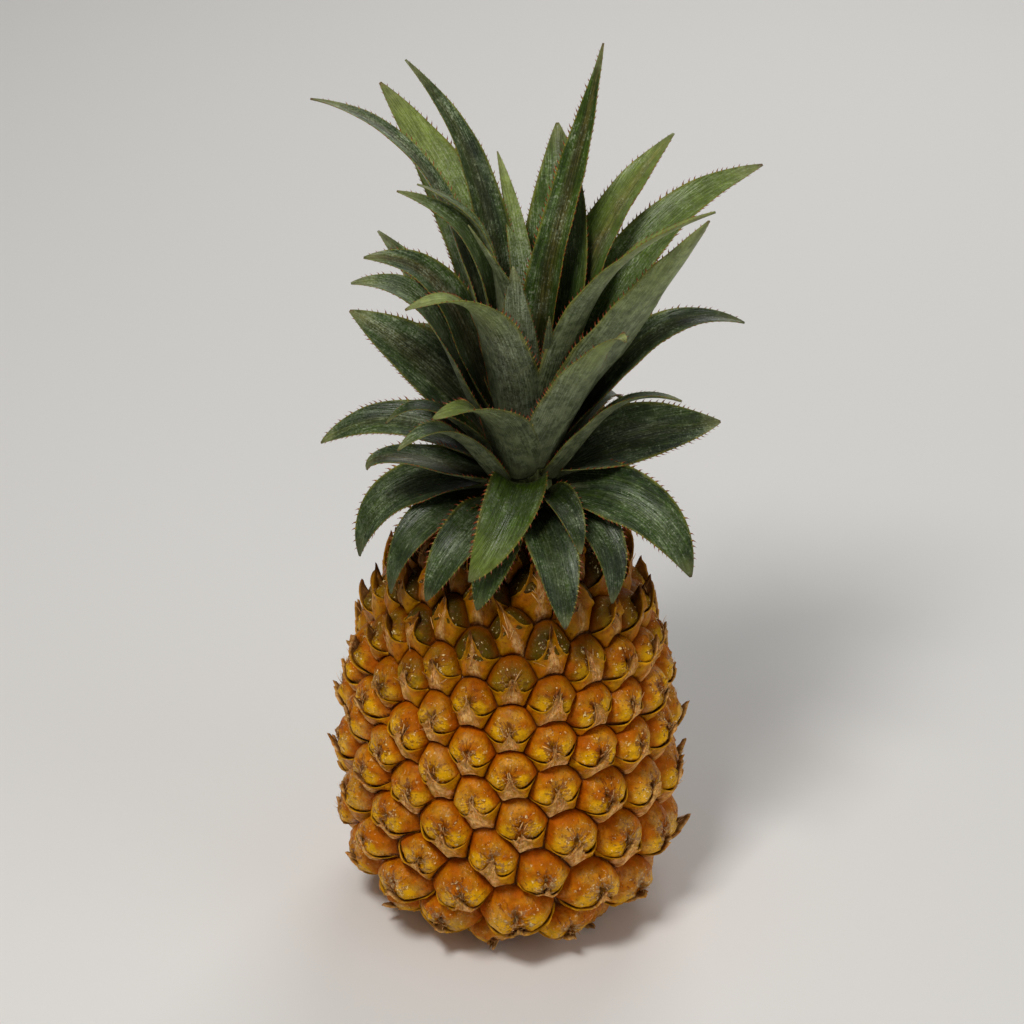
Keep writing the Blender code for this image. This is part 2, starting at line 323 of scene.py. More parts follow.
fibre_group, recipe, entry, leave = new_group(
    "fibres",
    [("Where", VECTOR, None), ("Fineness", NUMBER, 200.0), ("Sharpness", NUMBER, 0.1)],
    [("Lines", NUMBER)],
)
lines = recipe.noise(entry["Where"], entry["Fineness"], 3.0, 0.5)
low = recipe.math("SUBTRACT", 0.5, entry["Sharpness"])
high = recipe.math("ADD", 0.5, entry["Sharpness"])
recipe.wire(leave["Lines"], recipe.ramp(lines, low, high))


def use_group(recipe, group, **inputs):
    """A group placed in a material with its own values: its outputs as fields, by name."""
    made = recipe.node("ShaderNodeGroup")
    made.node_tree = group
    for name, value in inputs.items():
        recipe.wire(made.inputs[name], value)
    return {output.name: Field(recipe, output) for output in made.outputs}


print("groups", mottle_group.name, fibre_group.name)

# %% [markdown]
# ## The body under the skin
#
# Without its eyes the fruit would be a barrel. A superellipse gives that outline with a few
# numbers: the radius, the height, where it is widest, and how full it is below and above.
# It also has a handy property: every direction from its middle meets the skin just once,
# so any point can be put on the skin by scaling it out from the middle.

# %% Barrel
RADIUS = 55.5 * MM
HEIGHT = float(fruit_high[2])
WIDEST = 0.304 * HEIGHT
FULLNESS = (3.1, 2.2)
EYES = 174
HOLLOW_RADIUS = 11.0 * MM
OUTLINE_POINTS = 400                # for each of the two quarters of the outline

middle = np.array([0.0, 0.0, WIDEST])


def gauge(points):
    """How far out points are: 1 on the skin, less inside."""
    out = points - middle
    below = out[..., 2] < 0.0
    full = np.where(below, *FULLNESS)
    tall = np.where(below, WIDEST, HEIGHT - WIDEST)
    across = np.hypot(out[..., 0], out[..., 1]) / RADIUS
    up = np.abs(out[..., 2]) / tall
    return (across ** full + up ** full) ** (1.0 / full)


def onto_skin(points):
    """Points moved straight out from the middle, onto the skin."""
    return middle + (points - middle) / gauge(points)[..., None]


def skin_normal(points):
    """Which way the skin faces at points on it."""
    out = points - middle
    below = out[..., 2] < 0.0
    full = np.where(below, *FULLNESS)
    tall = np.where(below, WIDEST, HEIGHT - WIDEST)
    across = np.maximum(np.hypot(out[..., 0], out[..., 1]), 1e-9)
    level = (across / RADIUS) ** (full - 1.0) / RADIUS / across
    up = np.sign(out[..., 2]) * (np.abs(out[..., 2]) / tall) ** (full - 1.0) / tall
    normal = np.stack([out[..., 0] * level, out[..., 1] * level, up], axis=-1)
    return normal / np.linalg.norm(normal, axis=-1, keepdims=True)


quarter = np.linspace(0.0, math.pi / 2, OUTLINE_POINTS)
outline_heights = np.concatenate([
    WIDEST * (1.0 - np.cos(quarter)), WIDEST + (HEIGHT - WIDEST) * np.sin(quarter[1:]),
])
share = np.abs(outline_heights - WIDEST) / np.where(outline_heights < WIDEST, WIDEST, HEIGHT - WIDEST)
full = np.where(outline_heights < WIDEST, *FULLNESS)
outline_radii = RADIUS * np.clip(1.0 - share ** full, 0.0, 1.0) ** (1.0 / full)
outline_steps = np.hypot(np.diff(outline_radii), np.diff(outline_heights))
print("barrel", round(2 * RADIUS / MM), "mm across,", round(HEIGHT / MM), "mm tall")

# %% [markdown]
# ## The growth spiral
#
# Eyes form one after another at the tip of the growing stem, each turned 137 degrees from
# the one before. That angle is why they end up in crossing rows, 8 one way and 13 the
# other. Giving each eye the same share of skin sets its height, a little more low down and
# a little less near the crown, and slow slides of the rows stand for uneven growth.

# %% Eye centres
FIRST_TURN = 201.8
TURN = -137.33
CROWDING = 0.35
SLIDE_ALONG = (0.10, -0.04, -0.06, -0.06, -0.03, -0.03)
SLIDE_ROUND = (-0.18, -0.21, 0.26, 0.15)

skin_share = np.concatenate([[0.0], np.cumsum((outline_radii[1:] + outline_radii[:-1]) * outline_steps)])
skin_share /= skin_share[-1]
number = np.arange(EYES)
age = (number + 0.5) / EYES
turn = np.radians(FIRST_TURN + number * TURN)
side, front = np.sin(turn), np.cos(turn)
level = 2.0 * age - 1.0
slide = SLIDE_ALONG[0] + SLIDE_ALONG[1] * side + SLIDE_ALONG[2] * front
slide += level * (SLIDE_ALONG[3] * side + SLIDE_ALONG[4] * front + SLIDE_ALONG[5])
twist = SLIDE_ROUND[0] * side + SLIDE_ROUND[1] * front
twist += level * (SLIDE_ROUND[2] * side + SLIDE_ROUND[3] * front)
middle_part = 16.0 * (age * (1.0 - age)) ** 2
grown = age + CROWDING * age * (1.0 - age) + middle_part * slide
turn = turn + middle_part * twist
eye_height = np.interp(grown, skin_share, outline_heights)
eye_radius = np.interp(grown, skin_share, outline_radii)
eye_centre = np.stack([eye_radius * np.sin(turn), -eye_radius * np.cos(turn), eye_height], axis=1)
print(EYES, "eyes, turned", abs(TURN), "degrees from one to the next")

# %% [markdown]
# ## A cell of skin for each eye
#
# Neighbouring eyes press on each other until they meet halfway, which makes cells with five
# or six sides. Finding them is easier on a ball. A map that keeps small circles round takes
# the barrel to a ball; the convex hull of the eyes there joins each eye to its neighbours;
# and the middle of each hull triangle is a corner where three cells meet.

# %% Neighbours and corners
NEARLY_POLE = 0.9999999             # the poles themselves have no place on the map
EVENNESS = 0.8                      # 0 puts a corner as far from all three eyes, 1 at their middle
stretch = np.concatenate([[0.0], np.cumsum(outline_steps[1:-1] / (
    0.5 * (outline_radii[1:-2] + outline_radii[2:-1])))])
inner_heights = outline_heights[1:-1]
stretch -= np.interp(WIDEST, inner_heights, stretch)


def to_ball(turns, heights):
    """Points of the barrel on the ball."""
    rise = np.tanh(np.interp(heights, inner_heights, stretch))
    level_part = np.sqrt(1.0 - rise ** 2)
    return np.stack([level_part * np.sin(turns), -level_part * np.cos(turns), rise], axis=-1)


def from_ball(points):
    """Points of the ball on the barrel."""
    rise = np.clip(points[..., 2], -NEARLY_POLE, NEARLY_POLE)
    heights = np.interp(np.arctanh(rise), stretch, inner_heights)
    radii = np.interp(heights, outline_heights, outline_radii)
    turns = np.arctan2(points[..., 0], -points[..., 1])
    return np.stack([radii * np.sin(turns), -radii * np.cos(turns), heights], axis=-1)


ball = to_ball(turn, eye_height)
hull = bmesh.new()
for point in ball:
    hull.verts.new(point)
hull.verts.index_update()
bmesh.ops.convex_hull(hull, input=hull.verts)
bmesh.ops.triangulate(hull, faces=hull.faces)
triangles = [[vert.index for vert in face.verts] for face in hull.faces]
hull.free()
corner_dirs = []
for first, second, third in triangles:
    centre = (ball[first] + ball[second] + ball[third]) / 3.0
    facing = np.cross(ball[second] - ball[first], ball[third] - ball[first])
    facing *= np.sign(facing @ centre) / np.linalg.norm(facing)
    corner = (1.0 - EVENNESS) * facing + EVENNESS * centre / np.linalg.norm(centre)
    corner_dirs.append(corner / np.linalg.norm(corner))
corners = from_ball(np.array(corner_dirs))

around = [[] for _ in range(EYES)]
for corner_number, triangle in enumerate(triangles):
    for eye in triangle:
        around[eye].append(corner_number)
for eye in range(EYES):
    pole = ball[eye]
    east = np.cross((0.0, 0.0, 1.0), pole)
    east /= np.linalg.norm(east)
    north = np.cross(pole, east)
    around[eye].sort(key=lambda one: math.atan2(
        (corner_dirs[one] - pole) @ north, (corner_dirs[one] - pole) @ east))
print(len(triangles), "corners;", "sides per eye", np.bincount([len(ring) for ring in around]))

# %% [markdown]
# Each eye now gets its own little map: its middle, which way is across and up, and how big
# it is. The edge of a cell is a ring of points that neighbouring cells share, so the skin
# has no cracks. Each side of a cell is a straight run of short steps laid onto the barrel.

# %% Cell edges
EDGE_STEPS = 6
BULGE = 0.10                        # how far a dome rounds up into the cells above, of the edge's length

skin_points = [point for point in corners]
edge_points = {}


def shared_edge(start, end):
    """Numbers of the points from one corner to the next, start included."""
    key = (min(start, end), max(start, end))
    if key not in edge_points:
        steps = np.linspace(0.0, 1.0, EDGE_STEPS + 1)[1:-1, None]
        run = corners[key[0]] * (1 - steps) + corners[key[1]] * steps
        length = np.linalg.norm(corners[key[0]] - corners[key[1]])
        facing = skin_normal(onto_skin(run))
        east = np.cross((0.0, 0.0, 1.0), facing)
        up = np.cross(facing, east / np.linalg.norm(east, axis=1, keepdims=True))
        run = onto_skin(run + BULGE * length * np.sin(math.pi * steps) * up)
        edge_points[key] = list(range(len(skin_points), len(skin_points) + len(run)))
        skin_points.extend(run)
    middle_run = edge_points[key] if start == key[0] else edge_points[key][::-1]
    return [start] + middle_run


edges = []
eye_up, eye_across, eye_out, eye_size = [], [], [], []
for eye in range(EYES):
    ring = around[eye]
    loop = []
    for place, corner_number in enumerate(ring):
        loop += shared_edge(corner_number, ring[(place + 1) % len(ring)])
    edges.append(loop)
    out = skin_normal(eye_centre[eye])
    across = np.cross((0.0, 0.0, 1.0), out)
    across /= np.linalg.norm(across)
    eye_out.append(out)
    eye_across.append(across)
    eye_up.append(np.cross(out, across))
    rim = np.array([skin_points[one] for one in loop])
    eye_size.append(np.linalg.norm(rim - eye_centre[eye], axis=1).mean())
eye_up, eye_across, eye_out, eye_size = (np.array(part) for part in (eye_up, eye_across, eye_out, eye_size))
print("middle to edge", round(eye_size.min() / MM, 1), "to", round(eye_size.max() / MM, 1), "mm")

# %% [markdown]
# ## The shape of one eye
#
# Look closely at an eye. Its upper part is a plump dome: three sepals that closed over the
# flower, meeting at a small pit, the navel, with a crease above it. Its lower part is the
# bract, a fleshy lip that runs from the left corner round the bottom to the right corner.
# The lip's dry middle reaches up over the dome as far as the navel.
#
# All of that is worked out in the eye's own map, where x runs across and y runs up, and 1
# is about the distance to the edge. `lip_line` is the curve along the bract's free edge, and
# `dome_height` is how far a point stands above the groove between eyes.

# %% Dome and lip
RELIEF = 0.60                       # height of a dome, as a share of the eye's size
ROUNDING = 0.75                     # how round a dome gets above its many-sided foot
PROUD = 0.13                        # how much of that stands out beyond the barrel
NAVEL = (0.0, 0.18)
YOUNG_FROM, YOUNG_OVER = 0.62, 0.24  # the eyes near the crown are the youngest
EYE_SEED = 11
rng = np.random.default_rng(EYE_SEED)
eye_tone = rng.uniform(-1.0, 1.0, EYES)
eye_skew = rng.normal(0.0, 0.07, (EYES, 2))
eye_lift = 1.0 + rng.normal(0.0, 0.07, EYES)
eye_turn = np.radians(rng.normal(0.0, 9.0, EYES))
eye_lobe = rng.normal(0.0, 0.30, EYES)              # how unlike its two cheeks are
eye_phase = rng.uniform(0.0, 2.0 * math.pi, EYES)
turned_across = np.cos(eye_turn)[:, None] * eye_across + np.sin(eye_turn)[:, None] * eye_up
eye_up = np.cos(eye_turn)[:, None] * eye_up - np.sin(eye_turn)[:, None] * eye_across
eye_across = turned_across
youth = np.clip((eye_height / HEIGHT - YOUNG_FROM) / YOUNG_OVER, 0.0, 1.0)


def bell(value, width):
    """A smooth bump, 1 at zero."""
    return np.exp(-(value / width) ** 2)


def soft_step(value, low, high):
    """0 below low and 1 above high, smooth between."""
    part = np.clip((value - low) / (high - low), 0.0, 1.0)
    return part * part * (3.0 - 2.0 * part)


def lip_line(x, young):
    """Height in an eye's map of the bract's free edge, without its dry tip."""
    return -0.05 - (0.34 - 0.24 * young) * np.clip(1.0 - x ** 2, 0.0, 1.0) ** 0.9


def pillow(reach):
    """The plain rounded rise of an eye, 1 in the middle and 0 at its edge."""
    return 0.30 * (1.0 - reach ** 1.6) + 0.70 * (1.0 - reach ** 4.6)


def rounded(reach, mean_share):
    """How much a ring point moves in or out, so that rings go from cell-shaped to round."""
    return 1.0 + (mean_share - 1.0) * ROUNDING * (1.0 - reach ** 2)


def dome_height(x, y, reach, young, lobe=0.0):
    """Height above the groove, as a share of the eye's size; reach is 0 in the middle, 1 at the edge."""
    rise = pillow(reach)
    # two cheeks, one plumper than the other
    rise += 0.13 * (1.0 + lobe * np.sign(x)) * bell(np.abs(x) - 0.38, 0.22) * bell(y - 0.04, 0.26)
    # a crease above the navel, the pit of the navel, and a fold from it down to the bract
    rise -= 0.17 * bell(x, 0.07) * soft_step(y, 0.10, 0.24) * (1.0 - soft_step(y, 0.50, 0.85))
    rise -= 0.18 * bell(np.hypot(x, y - NAVEL[1]), 0.11)
    rise -= 0.09 * bell(x, 0.10) * soft_step(-y, -0.12, 0.10)
    # a drop behind the bract's lip
    under = lip_line(x, young) - y
    rise -= 0.34 * soft_step(under, -0.10, 0.06) * (1.0 - reach ** 3)
    return RELIEF * rise


cheek_top = dome_height(0.4, 0.0, 0.4, 0.0) * float(np.median(eye_size)) / MM
print("dome", round(float(cheek_top), 1), "mm above the groove on a middle-sized eye")

# %% [markdown]
# A few helpers are shared by the pieces that follow. `ripple` is a wobble that comes out the
# same every time, `eye_map` and `from_eye_map` go between the fruit and an eye's own map,
# `settle` keeps everything above the floor and clear of the stalk, and `mesh_piece` turns
# points and faces into an object with its finish and its stored numbers.

# %% Helpers for pieces
WAVES = 6
HOLLOW_DEPTH, HOLLOW_SLOPE, HOLLOW_ZONE = 4.6 * MM, 1.5 * MM, 8.0 * MM


def ripple(points, scale, seed):
    """A smooth, repeatable wobble between -1 and 1, from a few waves in fixed directions."""
    waves = np.random.default_rng(seed)
    total = np.zeros(points.shape[:-1])
    for _ in range(WAVES):
        facing = waves.normal(size=3)
        facing /= np.linalg.norm(facing)
        quicker, shift = waves.uniform(0.7, 1.5), waves.uniform(0, 6.3)
        total += np.sin(points @ facing * 2.0 * math.pi / scale * quicker + shift)
    return total / WAVES


def eye_map(eye, points):
    """Where points are in an eye's own map."""
    away = (points - eye_centre[eye]) / eye_size[eye]
    return away @ eye_across[eye], away @ eye_up[eye]


def from_eye_map(eye, x, y):
    """Points of the barrel from places in an eye's own map."""
    x, y = np.asarray(x)[..., None], np.asarray(y)[..., None]
    flat = eye_centre[eye] + eye_size[eye] * (x * eye_across[eye] + y * eye_up[eye])
    return onto_skin(flat)


def settle(points):
    """Keep points above the floor, and lift those in the hollow for the stalk."""
    points = np.array(points)
    points[..., 2] = np.maximum(points[..., 2], 0.0)
    out = np.hypot(points[..., 0], points[..., 1])
    low = points[..., 2] < HOLLOW_ZONE
    lift = HOLLOW_DEPTH * (1.0 - soft_step(out, HOLLOW_RADIUS - HOLLOW_SLOPE, HOLLOW_RADIUS))
    points[..., 2] = np.where(low, np.maximum(points[..., 2], lift), points[..., 2])
    return points


def mesh_piece(name, points, faces, finish, values):
    """An object from points and faces, with named values stored on its points."""
    mesh = bpy.data.meshes.new(name)
    mesh.from_pydata(np.asarray(points).tolist(), [], faces)
    mesh.materials.append(finish)
    mesh.shade_smooth()
    for label, numbers in values.items():
        numbers = np.asarray(numbers, np.float32)
        kind = "FLOAT" if numbers.ndim == 1 else "FLOAT_VECTOR"
        stored = mesh.attributes.new(label, kind, "POINT")
        stored.data.foreach_set("value" if numbers.ndim == 1 else "vector", numbers.ravel())
    piece = bpy.data.objects.new(name, mesh)
    bpy.context.scene.collection.objects.link(piece)
    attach(piece, "root")
    return piece


print("ripple at the middle", round(float(ripple(middle, 5.0 * MM, 6)), 2))

# %% [markdown]
# The skin is one mesh. Each cell is a set of rings that shrink from the shared edge to the
# navel, close together near the edge, where the surface turns fastest. Every point is laid
# on the barrel and then moved along the way the skin faces. Numbers that the finish needs,
# such as how deep in a groove a point is, are stored on the mesh at the same time.

# %% Skin cells
RINGS = np.array([0.965, 0.92, 0.86, 0.79, 0.71, 0.62, 0.53, 0.44, 0.35, 0.26, 0.18, 0.10])
EYE_STEP = 3.7                      # keeps the noise of one eye apart from that of the next


def skin_cell(eye):
    """Points of one cell, ring by ring from its edge in to the navel, and their values."""
    rim = outer[edges[eye]]
    young = youth[eye]
    navel = from_eye_map(eye, NAVEL[0] + eye_skew[eye, 0], NAVEL[1] + eye_skew[eye, 1])
    reach = np.concatenate([np.repeat(RINGS, len(rim)), [0.0]])
    far = np.linalg.norm(rim - navel, axis=1)
    mean_share = np.concatenate([np.tile(far.mean() / far, len(RINGS)), [1.0]])
    flat = np.concatenate([np.tile(rim, (len(RINGS), 1)), [navel]])
    flat = navel + (flat - navel) * (reach * rounded(reach, mean_share))[:, None]
    base = onto_skin(flat)
    x, y = eye_map(eye, base)
    rise = dome_height(x, y, reach, young, eye_lobe[eye]) * eye_lift[eye]
    # small bumps all over, and folds that run out from the navel like rays
    rise += (0.036 * ripple(base, 2.0 * MM, 5) + 0.075 * ripple(base, 5.0 * MM, 6)) * (1.0 - reach ** 2)
    spread = np.hypot(x - NAVEL[0], y - NAVEL[1])
    angle = np.arctan2(y - NAVEL[1], x - NAVEL[0])
    folds = np.sin(9.0 * angle + eye_phase[eye]) + 0.8 * np.sin(5.0 * angle - 2.0 * eye_phase[eye])
    rise += 0.016 * folds * bell(spread - 0.24, 0.16)
    height = eye_size[eye] * (rise - RELIEF + PROUD)
    values = {
        "groove": reach ** 3,
        "spot": np.stack([x, y, np.full(len(x), eye * EYE_STEP)], axis=1),
        "youth": np.full(len(x), young),
        "tone": np.full(len(x), eye_tone[eye]),
        "cheek": bell(np.abs(x) - 0.42, 0.26) * bell(y - 0.04, 0.25),
        "lip_gap": soft_step(lip_line(x, young) - y, -0.16, -0.02),
    }
    return base + height[:, None] * skin_normal(base), values


def cell_faces(loop, start):
    """Faces of one cell whose points begin at a number: rings of four-sided faces and a fan."""
    count = len(loop)
    rings = [loop]
    for ring_number in range(len(RINGS)):
        rings.append(range(start + ring_number * count, start + (ring_number + 1) * count))
    faces = []
    for outside, inside in zip(rings, rings[1:]):
        for step in range(count):
            after = (step + 1) % count
            faces.append((outside[step], outside[after], inside[after], inside[step]))
    navel = start + len(RINGS) * count
    faces += [(rings[-1][step], rings[-1][(step + 1) % count], navel) for step in range(count)]
    return faces


print("a cell with 6 sides has", len(cell_faces(list(range(6 * EDGE_STEPS)), 0)), "faces")

# %% [markdown]
# The shared edges lie at the bottom of the grooves. How deep depends on the size of the
# eyes on either side, and the grooves are deepest where three cells meet.

# %% Skin mesh
CORNER_DEEPER = 1.12

outer = np.array(skin_points)
outer_count = len(outer)
outer_size = np.zeros(outer_count)
outer_hits = np.zeros(outer_count)
for eye in range(EYES):
    outer_size[edges[eye]] += eye_size[eye]
    outer_hits[edges[eye]] += 1
outer_size /= outer_hits
is_corner = np.arange(outer_count) < len(corners)
depth = outer_size * (RELIEF - PROUD) * np.where(is_corner, CORNER_DEEPER, 1.0)
depth *= 1.0 + 0.10 * ripple(outer, 14 * MM, 3)
points = [outer - depth[:, None] * skin_normal(outer)]
values = {"groove": [np.ones(outer_count)], "spot": [np.zeros((outer_count, 3))]}
values.update({label: [np.zeros(outer_count)] for label in ("youth", "tone", "cheek", "lip_gap")})
faces = []
total = outer_count
for eye in range(EYES):
    cell, cell_values = skin_cell(eye)
    points.append(cell)
    for label, part in cell_values.items():
        values[label].append(part)
    faces += cell_faces(edges[eye], total)
    total += len(cell)
skin_mesh_points = settle(np.concatenate(points))
skin_values = {label: np.concatenate(part) for label, part in values.items()}
print("skin", len(skin_mesh_points), "points,", len(faces), "faces")

# %% [markdown]
# ## The finish of the skin
#
# Ripe skin is orange to yellow on the domes, browner on their flanks and dark brown in the
# grooves. The youngest eyes, near the crown, are still olive, and towards the crown the skin
# is darkened with painted shade, as if its leaves shaded it. Round each navel there are dry
# red-brown specks that run out like rays; there are pale waxy patches, most of them low
# down, and small pale dots on the domes are painted glints. A thin coat in patches catches
# the light. The stored numbers say where on an eye a point is, and noise breaks every edge
# between the colours.

# %% Skin finish
def make_skin_finish():
    """Waxy yellow-orange skin with olive patches, specks and dark grooves."""
    finish, recipe, shader = new_finish("ripe_skin")
    place = recipe.place()
    groove, cheek, young, tone, shaded_gap = [
        recipe.attribute(name) for name in ("groove", "cheek", "youth", "tone", "lip_gap")
    ]
    patches = recipe.noise(place, 160.0, 3.0)
    grain = recipe.noise(place, 900.0, 4.0)
    blots = recipe.noise(place, 620.0, 3.0, 0.6)
    dry = recipe.noise(place, 980.0, 4.0, 0.65)
    height = recipe.axes(place)[2]

    across, up, seed = recipe.axes(recipe.attribute("spot", "Vector"))
    down = up - NAVEL[1]
    far = recipe.distance(across, down)
    angle = recipe.math("ARCTAN2", across, down)
    ray = recipe.node("ShaderNodeCombineXYZ", X=2.2 * angle, Y=far, Z=seed)
    rays = recipe.noise(ray.outputs[0], 3.0, 4.0, 0.6)

    near = recipe.ramp(far, 0.10, 0.62, 1.0, 0.0)
    specks = recipe.ramp(0.5 * rays + 0.5 * blots + 0.12 * near, 0.54, 0.63)
    specks = specks * recipe.ramp(far, 0.55, 0.95, 1.0, 0.0)
    freckles = recipe.noise(place, 1250.0, 3.0, 0.6) + 0.35 * (patches - 0.5)
    freckles = recipe.ramp(freckles, 0.58, 0.70, 0.0, 0.7) * recipe.ramp(far, 0.2, 0.4)
    waxy = recipe.ramp(height, 30 * MM, 70 * MM, 1.0, 0.15) * recipe.ramp(blots, 0.48, 0.60)
    # painted glints: small pale dots on the domes, away from the grooves
    painted_glints = recipe.ramp(dry, 0.58, 0.64) * recipe.ramp(groove, 0.2, 0.6, 1.0, 0.0)
    olive = 0.80 * young + 0.20 * tone + 0.9 * patches

    colour = recipe.layers(
        recipe.mix(recipe.ramp(patches, 0.35, 0.65), paint(184, 98, 0), paint(202, 132, 0)),
        (recipe.ramp(cheek + 0.9 * patches, 0.42, 1.0), paint(228, 167, 2)),
        (recipe.ramp(olive, 0.58, 1.15, 0.0, 0.90), paint(84, 74, 2)),
        (0.75 * recipe.math("MAXIMUM", specks, freckles), paint(116, 44, 0)),
        (recipe.ramp(far, 0.03, 0.12, 0.6, 0.0), paint(60, 30, 10)),                # the navel's pit
        (0.75 * recipe.ramp(groove + 0.25 * grain, 0.35, 1.05), paint(168, 74, 0)),  # flanks
        (recipe.ramp(groove, 0.86, 1.0, 0.0, 0.8), paint(84, 40, 2)),
        # painted shade in the gap behind the bract's lip
        (0.85 * recipe.ramp(shaded_gap, 0.35, 1.0), paint(58, 34, 8)),                     # behind the lip
        # painted shade: the skin darkens towards the crown as if its leaves shaded it
        (recipe.ramp(height, 84 * MM, 138 * MM, 0.0, 0.80), paint(46, 30, 0)),      # near the crown
        (waxy * recipe.ramp(far, 0.25, 0.55, 0.45, 0.0), paint(208, 178, 128)),
        (0.85 * (painted_glints * recipe.ramp(blots, 0.47, 0.58)), paint(250, 226, 164)),
    )
    mottled = use_group(recipe, mottle_group, Colour=colour, Where=place, Size=420.0, Amount=0.16)
    relief = 0.6 * grain + 0.4 * rays + 0.8 * blots + 0.35 * dry
    roughness = recipe.ramp(grain, 0.3, 0.7, 0.34, 0.56)
    bumpy = recipe.surface(shader, mottled["Colour"], roughness, relief, 0.9, 0.70 * MM)
    coat = recipe.ramp(patches, 0.46, 0.62, 0.0, 0.6) * recipe.ramp(young, 0.0, 0.4, 1.0, 0.2)
    recipe.wire(shader.inputs["Coat Weight"], coat)
    recipe.wire(shader.inputs["Coat Normal"], bumpy)
    shader.inputs["Coat Roughness"].default_value = 0.11
    shader.inputs["Specular IOR Level"].default_value = 0.08
    return finish


skin_finish = make_skin_finish()
skin = mesh_piece("fruit_skin", skin_mesh_points, faces, skin_finish, skin_values)
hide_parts("fruit")
print("skin piece", skin.name)

# %% [markdown]
# ## The bracts
#
# Each bract is modelled as a real shell with two sides, because its free edge throws a
# shadow on the dome behind it. It starts in the groove under the eye, swells out, and ends
# in a thin yellow lip, which its finish lightens with a painted highlight. In the middle the
# lip runs up into a dry, frayed tip. To lay it on the dome, the height of the dome has to be
# known anywhere in an eye's map, not only on the rings of its cell, so that is worked out
# first.

# %% What a bract lies on
ROUNDS = 5


def edge_distance(eye, start, x, y):
    """From a start in the eye's map to the cell's edge, in the direction of each point."""
    rim_x, rim_y = eye_map(eye, outer[edges[eye]])
    rim_angle = np.arctan2(rim_y - start[1], rim_x - start[0])
    rim_far = np.hypot(rim_y - start[1], rim_x - start[0])
    order = np.argsort(rim_angle)
    rim_angle, rim_far = rim_angle[order], rim_far[order]
    rim_angle = np.concatenate([rim_angle - 2 * math.pi, rim_angle, rim_angle + 2 * math.pi])
    return np.interp(np.arctan2(y - start[1], x - start[0]), rim_angle, np.tile(rim_far, 3))


def reach_at(eye, x, y):
    """How far points are from the navel to the edge of the cell: 0 to 1."""
    start = (NAVEL[0] + eye_skew[eye, 0], NAVEL[1] + eye_skew[eye, 1])
    rim_x, rim_y = eye_map(eye, outer[edges[eye]])
    edge_far = edge_distance(eye, start, x, y)
    mean_share = np.hypot(rim_x - start[0], rim_y - start[1]).mean() / edge_far
    straight = np.hypot(x - start[0], y - start[1]) / edge_far
    # the rounding depends on the answer, so the answer is found by going round a few times
    reach = straight
    for _ in range(ROUNDS):
        reach = straight / rounded(np.clip(reach, 0.0, 1.0), mean_share)
    return reach


def cover_height(reach):
    """Height of the dome without its pit and gap, which is what a bract lies on."""
    return RELIEF * pillow(np.clip(reach, 0.0, 1.0))


print("cover in the middle", round(float(RELIEF * pillow(0.0)), 2), "of the eye's size")

# %% [markdown]
# A bract is drawn in the eye's map by two lines: its foot, which follows the cell's edge,
# and its free lip, which rises to the dry tip in the middle. Random numbers fray the tip
# and say how far it curls, because no two dried tips are alike.

# %% Bract outlines
LIP_ACROSS = 35
LIP_SWEEP = 91.0                    # how far the foot runs round the eye to each side, in degrees
FOOT_REACH, LIP_REACH = 0.985, 0.97


def bract_outline(eye, noise):
    """Places across a bract, its foot and its lip in the eye's map, its dryness, fray and curl."""
    young = youth[eye]
    across = np.linspace(-1.0, 1.0, LIP_ACROSS)
    across = np.sign(across) * np.abs(across) ** 1.35
    angle = math.radians(270.0) + math.radians(LIP_SWEEP) * across
    far = edge_distance(eye, (0.0, 0.0), np.cos(angle), np.sin(angle))
    foot = (far * np.cos(angle) * FOOT_REACH, far * np.sin(angle) * FOOT_REACH)
    half = np.where(across < 0, far[0], far[-1]) * LIP_REACH
    tip_high = 0.64 + 0.80 * young + noise.normal(0, 0.12)
    tip_wide = 0.20 + 0.12 * young
    dry = np.exp(-(np.abs(across) / tip_wide) ** 1.25)
    fray = noise.normal(0.0, 1.0, LIP_ACROSS)
    lip_y = lip_line(across, young) + tip_high * dry + 0.10 * fray * dry
    ragged = 0.02 * noise.normal(0.0, 1.0, LIP_ACROSS) * dry
    lip_x = across * half + 0.5 * eye_skew[eye, 0] * dry + ragged
    curl = noise.uniform(0.05, 0.32) + 0.55 * young
    return across, foot, (lip_x, lip_y), dry, fray, curl


print("an outline has", LIP_ACROSS, "places across")

# %% [markdown]
# Between foot and lip the bract rises off the dome. One closed cross-section runs up its
# outside and back down its inside at each place across, which gives it a real thickness,
# and the sections are joined. The three lowest eyes lie flat on the floor, and they get no
# bract.

# %% Bract shells
LOWEST_BRACT = 0.5 * MM
BRACT_SEED = 23
OUTSIDE = np.array([0.0, 0.10, 0.24, 0.40, 0.56, 0.70, 0.82, 0.91, 0.97, 1.0])
INSIDE = np.array([0.985, 0.90, 0.76, 0.55])


